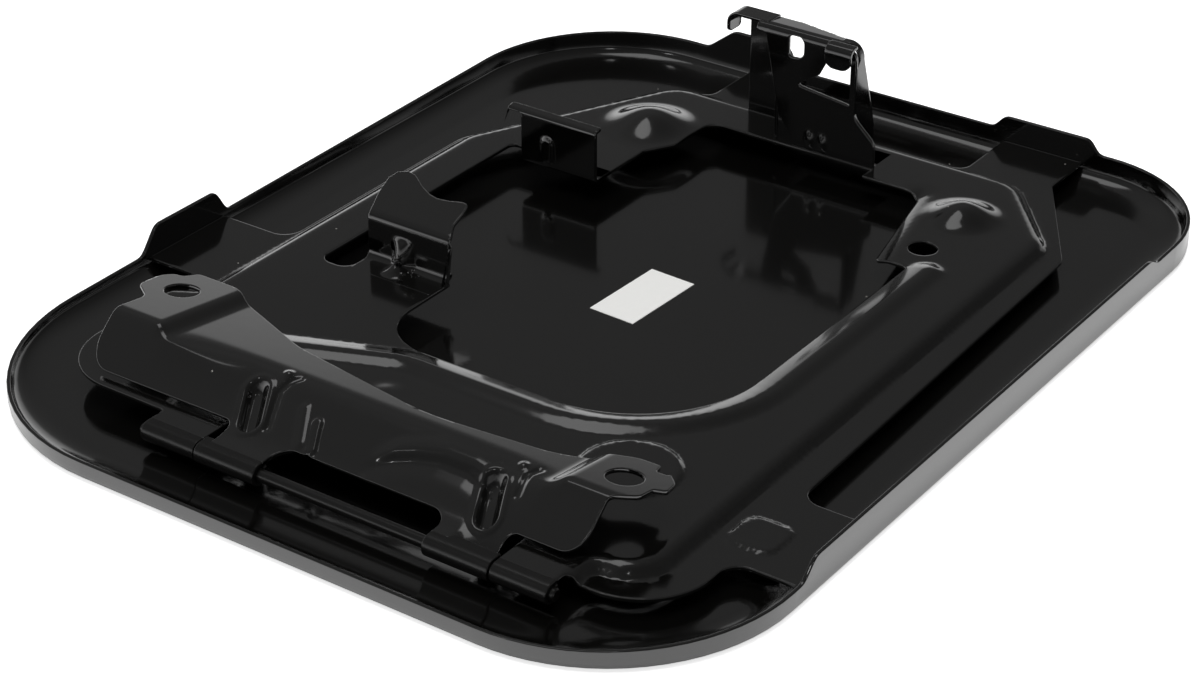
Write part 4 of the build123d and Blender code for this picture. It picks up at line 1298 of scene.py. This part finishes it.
# Lamps that show in the paint: azimuth, elevation, size, power
LAMPS = {
    "soft_window": (-62, 70, 0.5, 0.59),
    "front_lamp": (-155, 50, 0.1, 0.16),
    "right_lamp": (145, 57, 0.1, 0.16),
}
LAMP_DISTANCE = 1.5
KEY_PLACE = (0.05, -0.1, 1.3)
KEY_SIZE = (1.1, 1.1)
KEY_POWER = 17.0
ORIGIN = (0, 0, 0)


def make_softbox(name, place, aim, size, power):
    """Rectangular lamp that faces a point."""
    data = bpy.data.lights.new(name, "AREA")
    data.shape = "RECTANGLE"
    data.size, data.size_y = size
    data.energy = power
    lamp = bpy.data.objects.new(name, data)
    lamp.location = place
    lamp.rotation_euler = (Vector(aim) - Vector(place)).to_track_quat("-Z", "Y").to_euler()
    bpy.context.scene.collection.objects.link(lamp)
    return lamp


class FUELDOOR_OT_stage(bpy.types.Operator):
    """Camera, pale floor, studio surroundings and lamps"""
    bl_idname = "fueldoor.stage"
    bl_label = "Studio stage"

    def execute(self, context):
        make_camera()
        make_floor(context.scene.fuel_door_finish)
        make_sky()
        key = make_softbox("overhead_key", KEY_PLACE, ORIGIN, KEY_SIZE, KEY_POWER)
        key.visible_glossy = False
        for name, (azimuth, elevation, size, power) in LAMPS.items():
            across = cos(radians(elevation)) * LAMP_DISTANCE
            high = sin(radians(elevation)) * LAMP_DISTANCE
            place = (sin(radians(azimuth)) * across, cos(radians(azimuth)) * across, high)
            make_softbox(name, place, ORIGIN, (size, size), power)
        context.scene.view_settings.view_transform = "Standard"
        return {"FINISHED"}


class FUELDOOR_PT_panel(bpy.types.Panel):
    """Sidebar list of the door's pieces and finishes"""
    bl_idname = "FUELDOOR_PT_panel"
    bl_label = "Fuel door"
    bl_space_type = "VIEW_3D"
    bl_region_type = "UI"
    bl_category = "Fuel door"

    def draw(self, context):
        for operator in OPERATORS:
            self.layout.operator(operator.bl_idname)
        for group in GROUPS:
            values = getattr(context.scene, group)
            for name in values.__annotations__:
                self.layout.prop(values, name)


GROUPS = {
    "fuel_door_skin": SkinSizes,
    "fuel_door_panel": PanelSizes,
    "fuel_door_bracket": BracketSizes,
    "fuel_door_finish": FinishLook,
}
OPERATORS = [
    FUELDOOR_OT_stage, FUELDOOR_OT_skin, FUELDOOR_OT_panel, FUELDOOR_OT_clips,
    FUELDOOR_OT_striker, FUELDOOR_OT_bracket, FUELDOOR_OT_hinge, FUELDOOR_OT_label,
]


def register():
    """Registers the property groups, the operators and the panel."""
    for name, group in GROUPS.items():
        bpy.utils.register_class(group)
        setattr(bpy.types.Scene, name, PointerProperty(type=group))
    for operator in OPERATORS:
        bpy.utils.register_class(operator)
    bpy.utils.register_class(FUELDOOR_PT_panel)


def unregister():
    """Takes back what register added."""
    bpy.utils.unregister_class(FUELDOOR_PT_panel)
    for operator in reversed(OPERATORS):
        bpy.utils.unregister_class(operator)
    for name, group in GROUPS.items():
        delattr(bpy.types.Scene, name)
        bpy.utils.unregister_class(group)


def main():
    """Builds the stage and every piece."""
    register()
    bpy.ops.fueldoor.stage()
    bpy.ops.fueldoor.skin()
    bpy.ops.fueldoor.panel()
    bpy.ops.fueldoor.clips()
    bpy.ops.fueldoor.striker()
    bpy.ops.fueldoor.bracket()
    bpy.ops.fueldoor.hinge()
    bpy.ops.fueldoor.label()


if __name__ == "__main__":
    main()
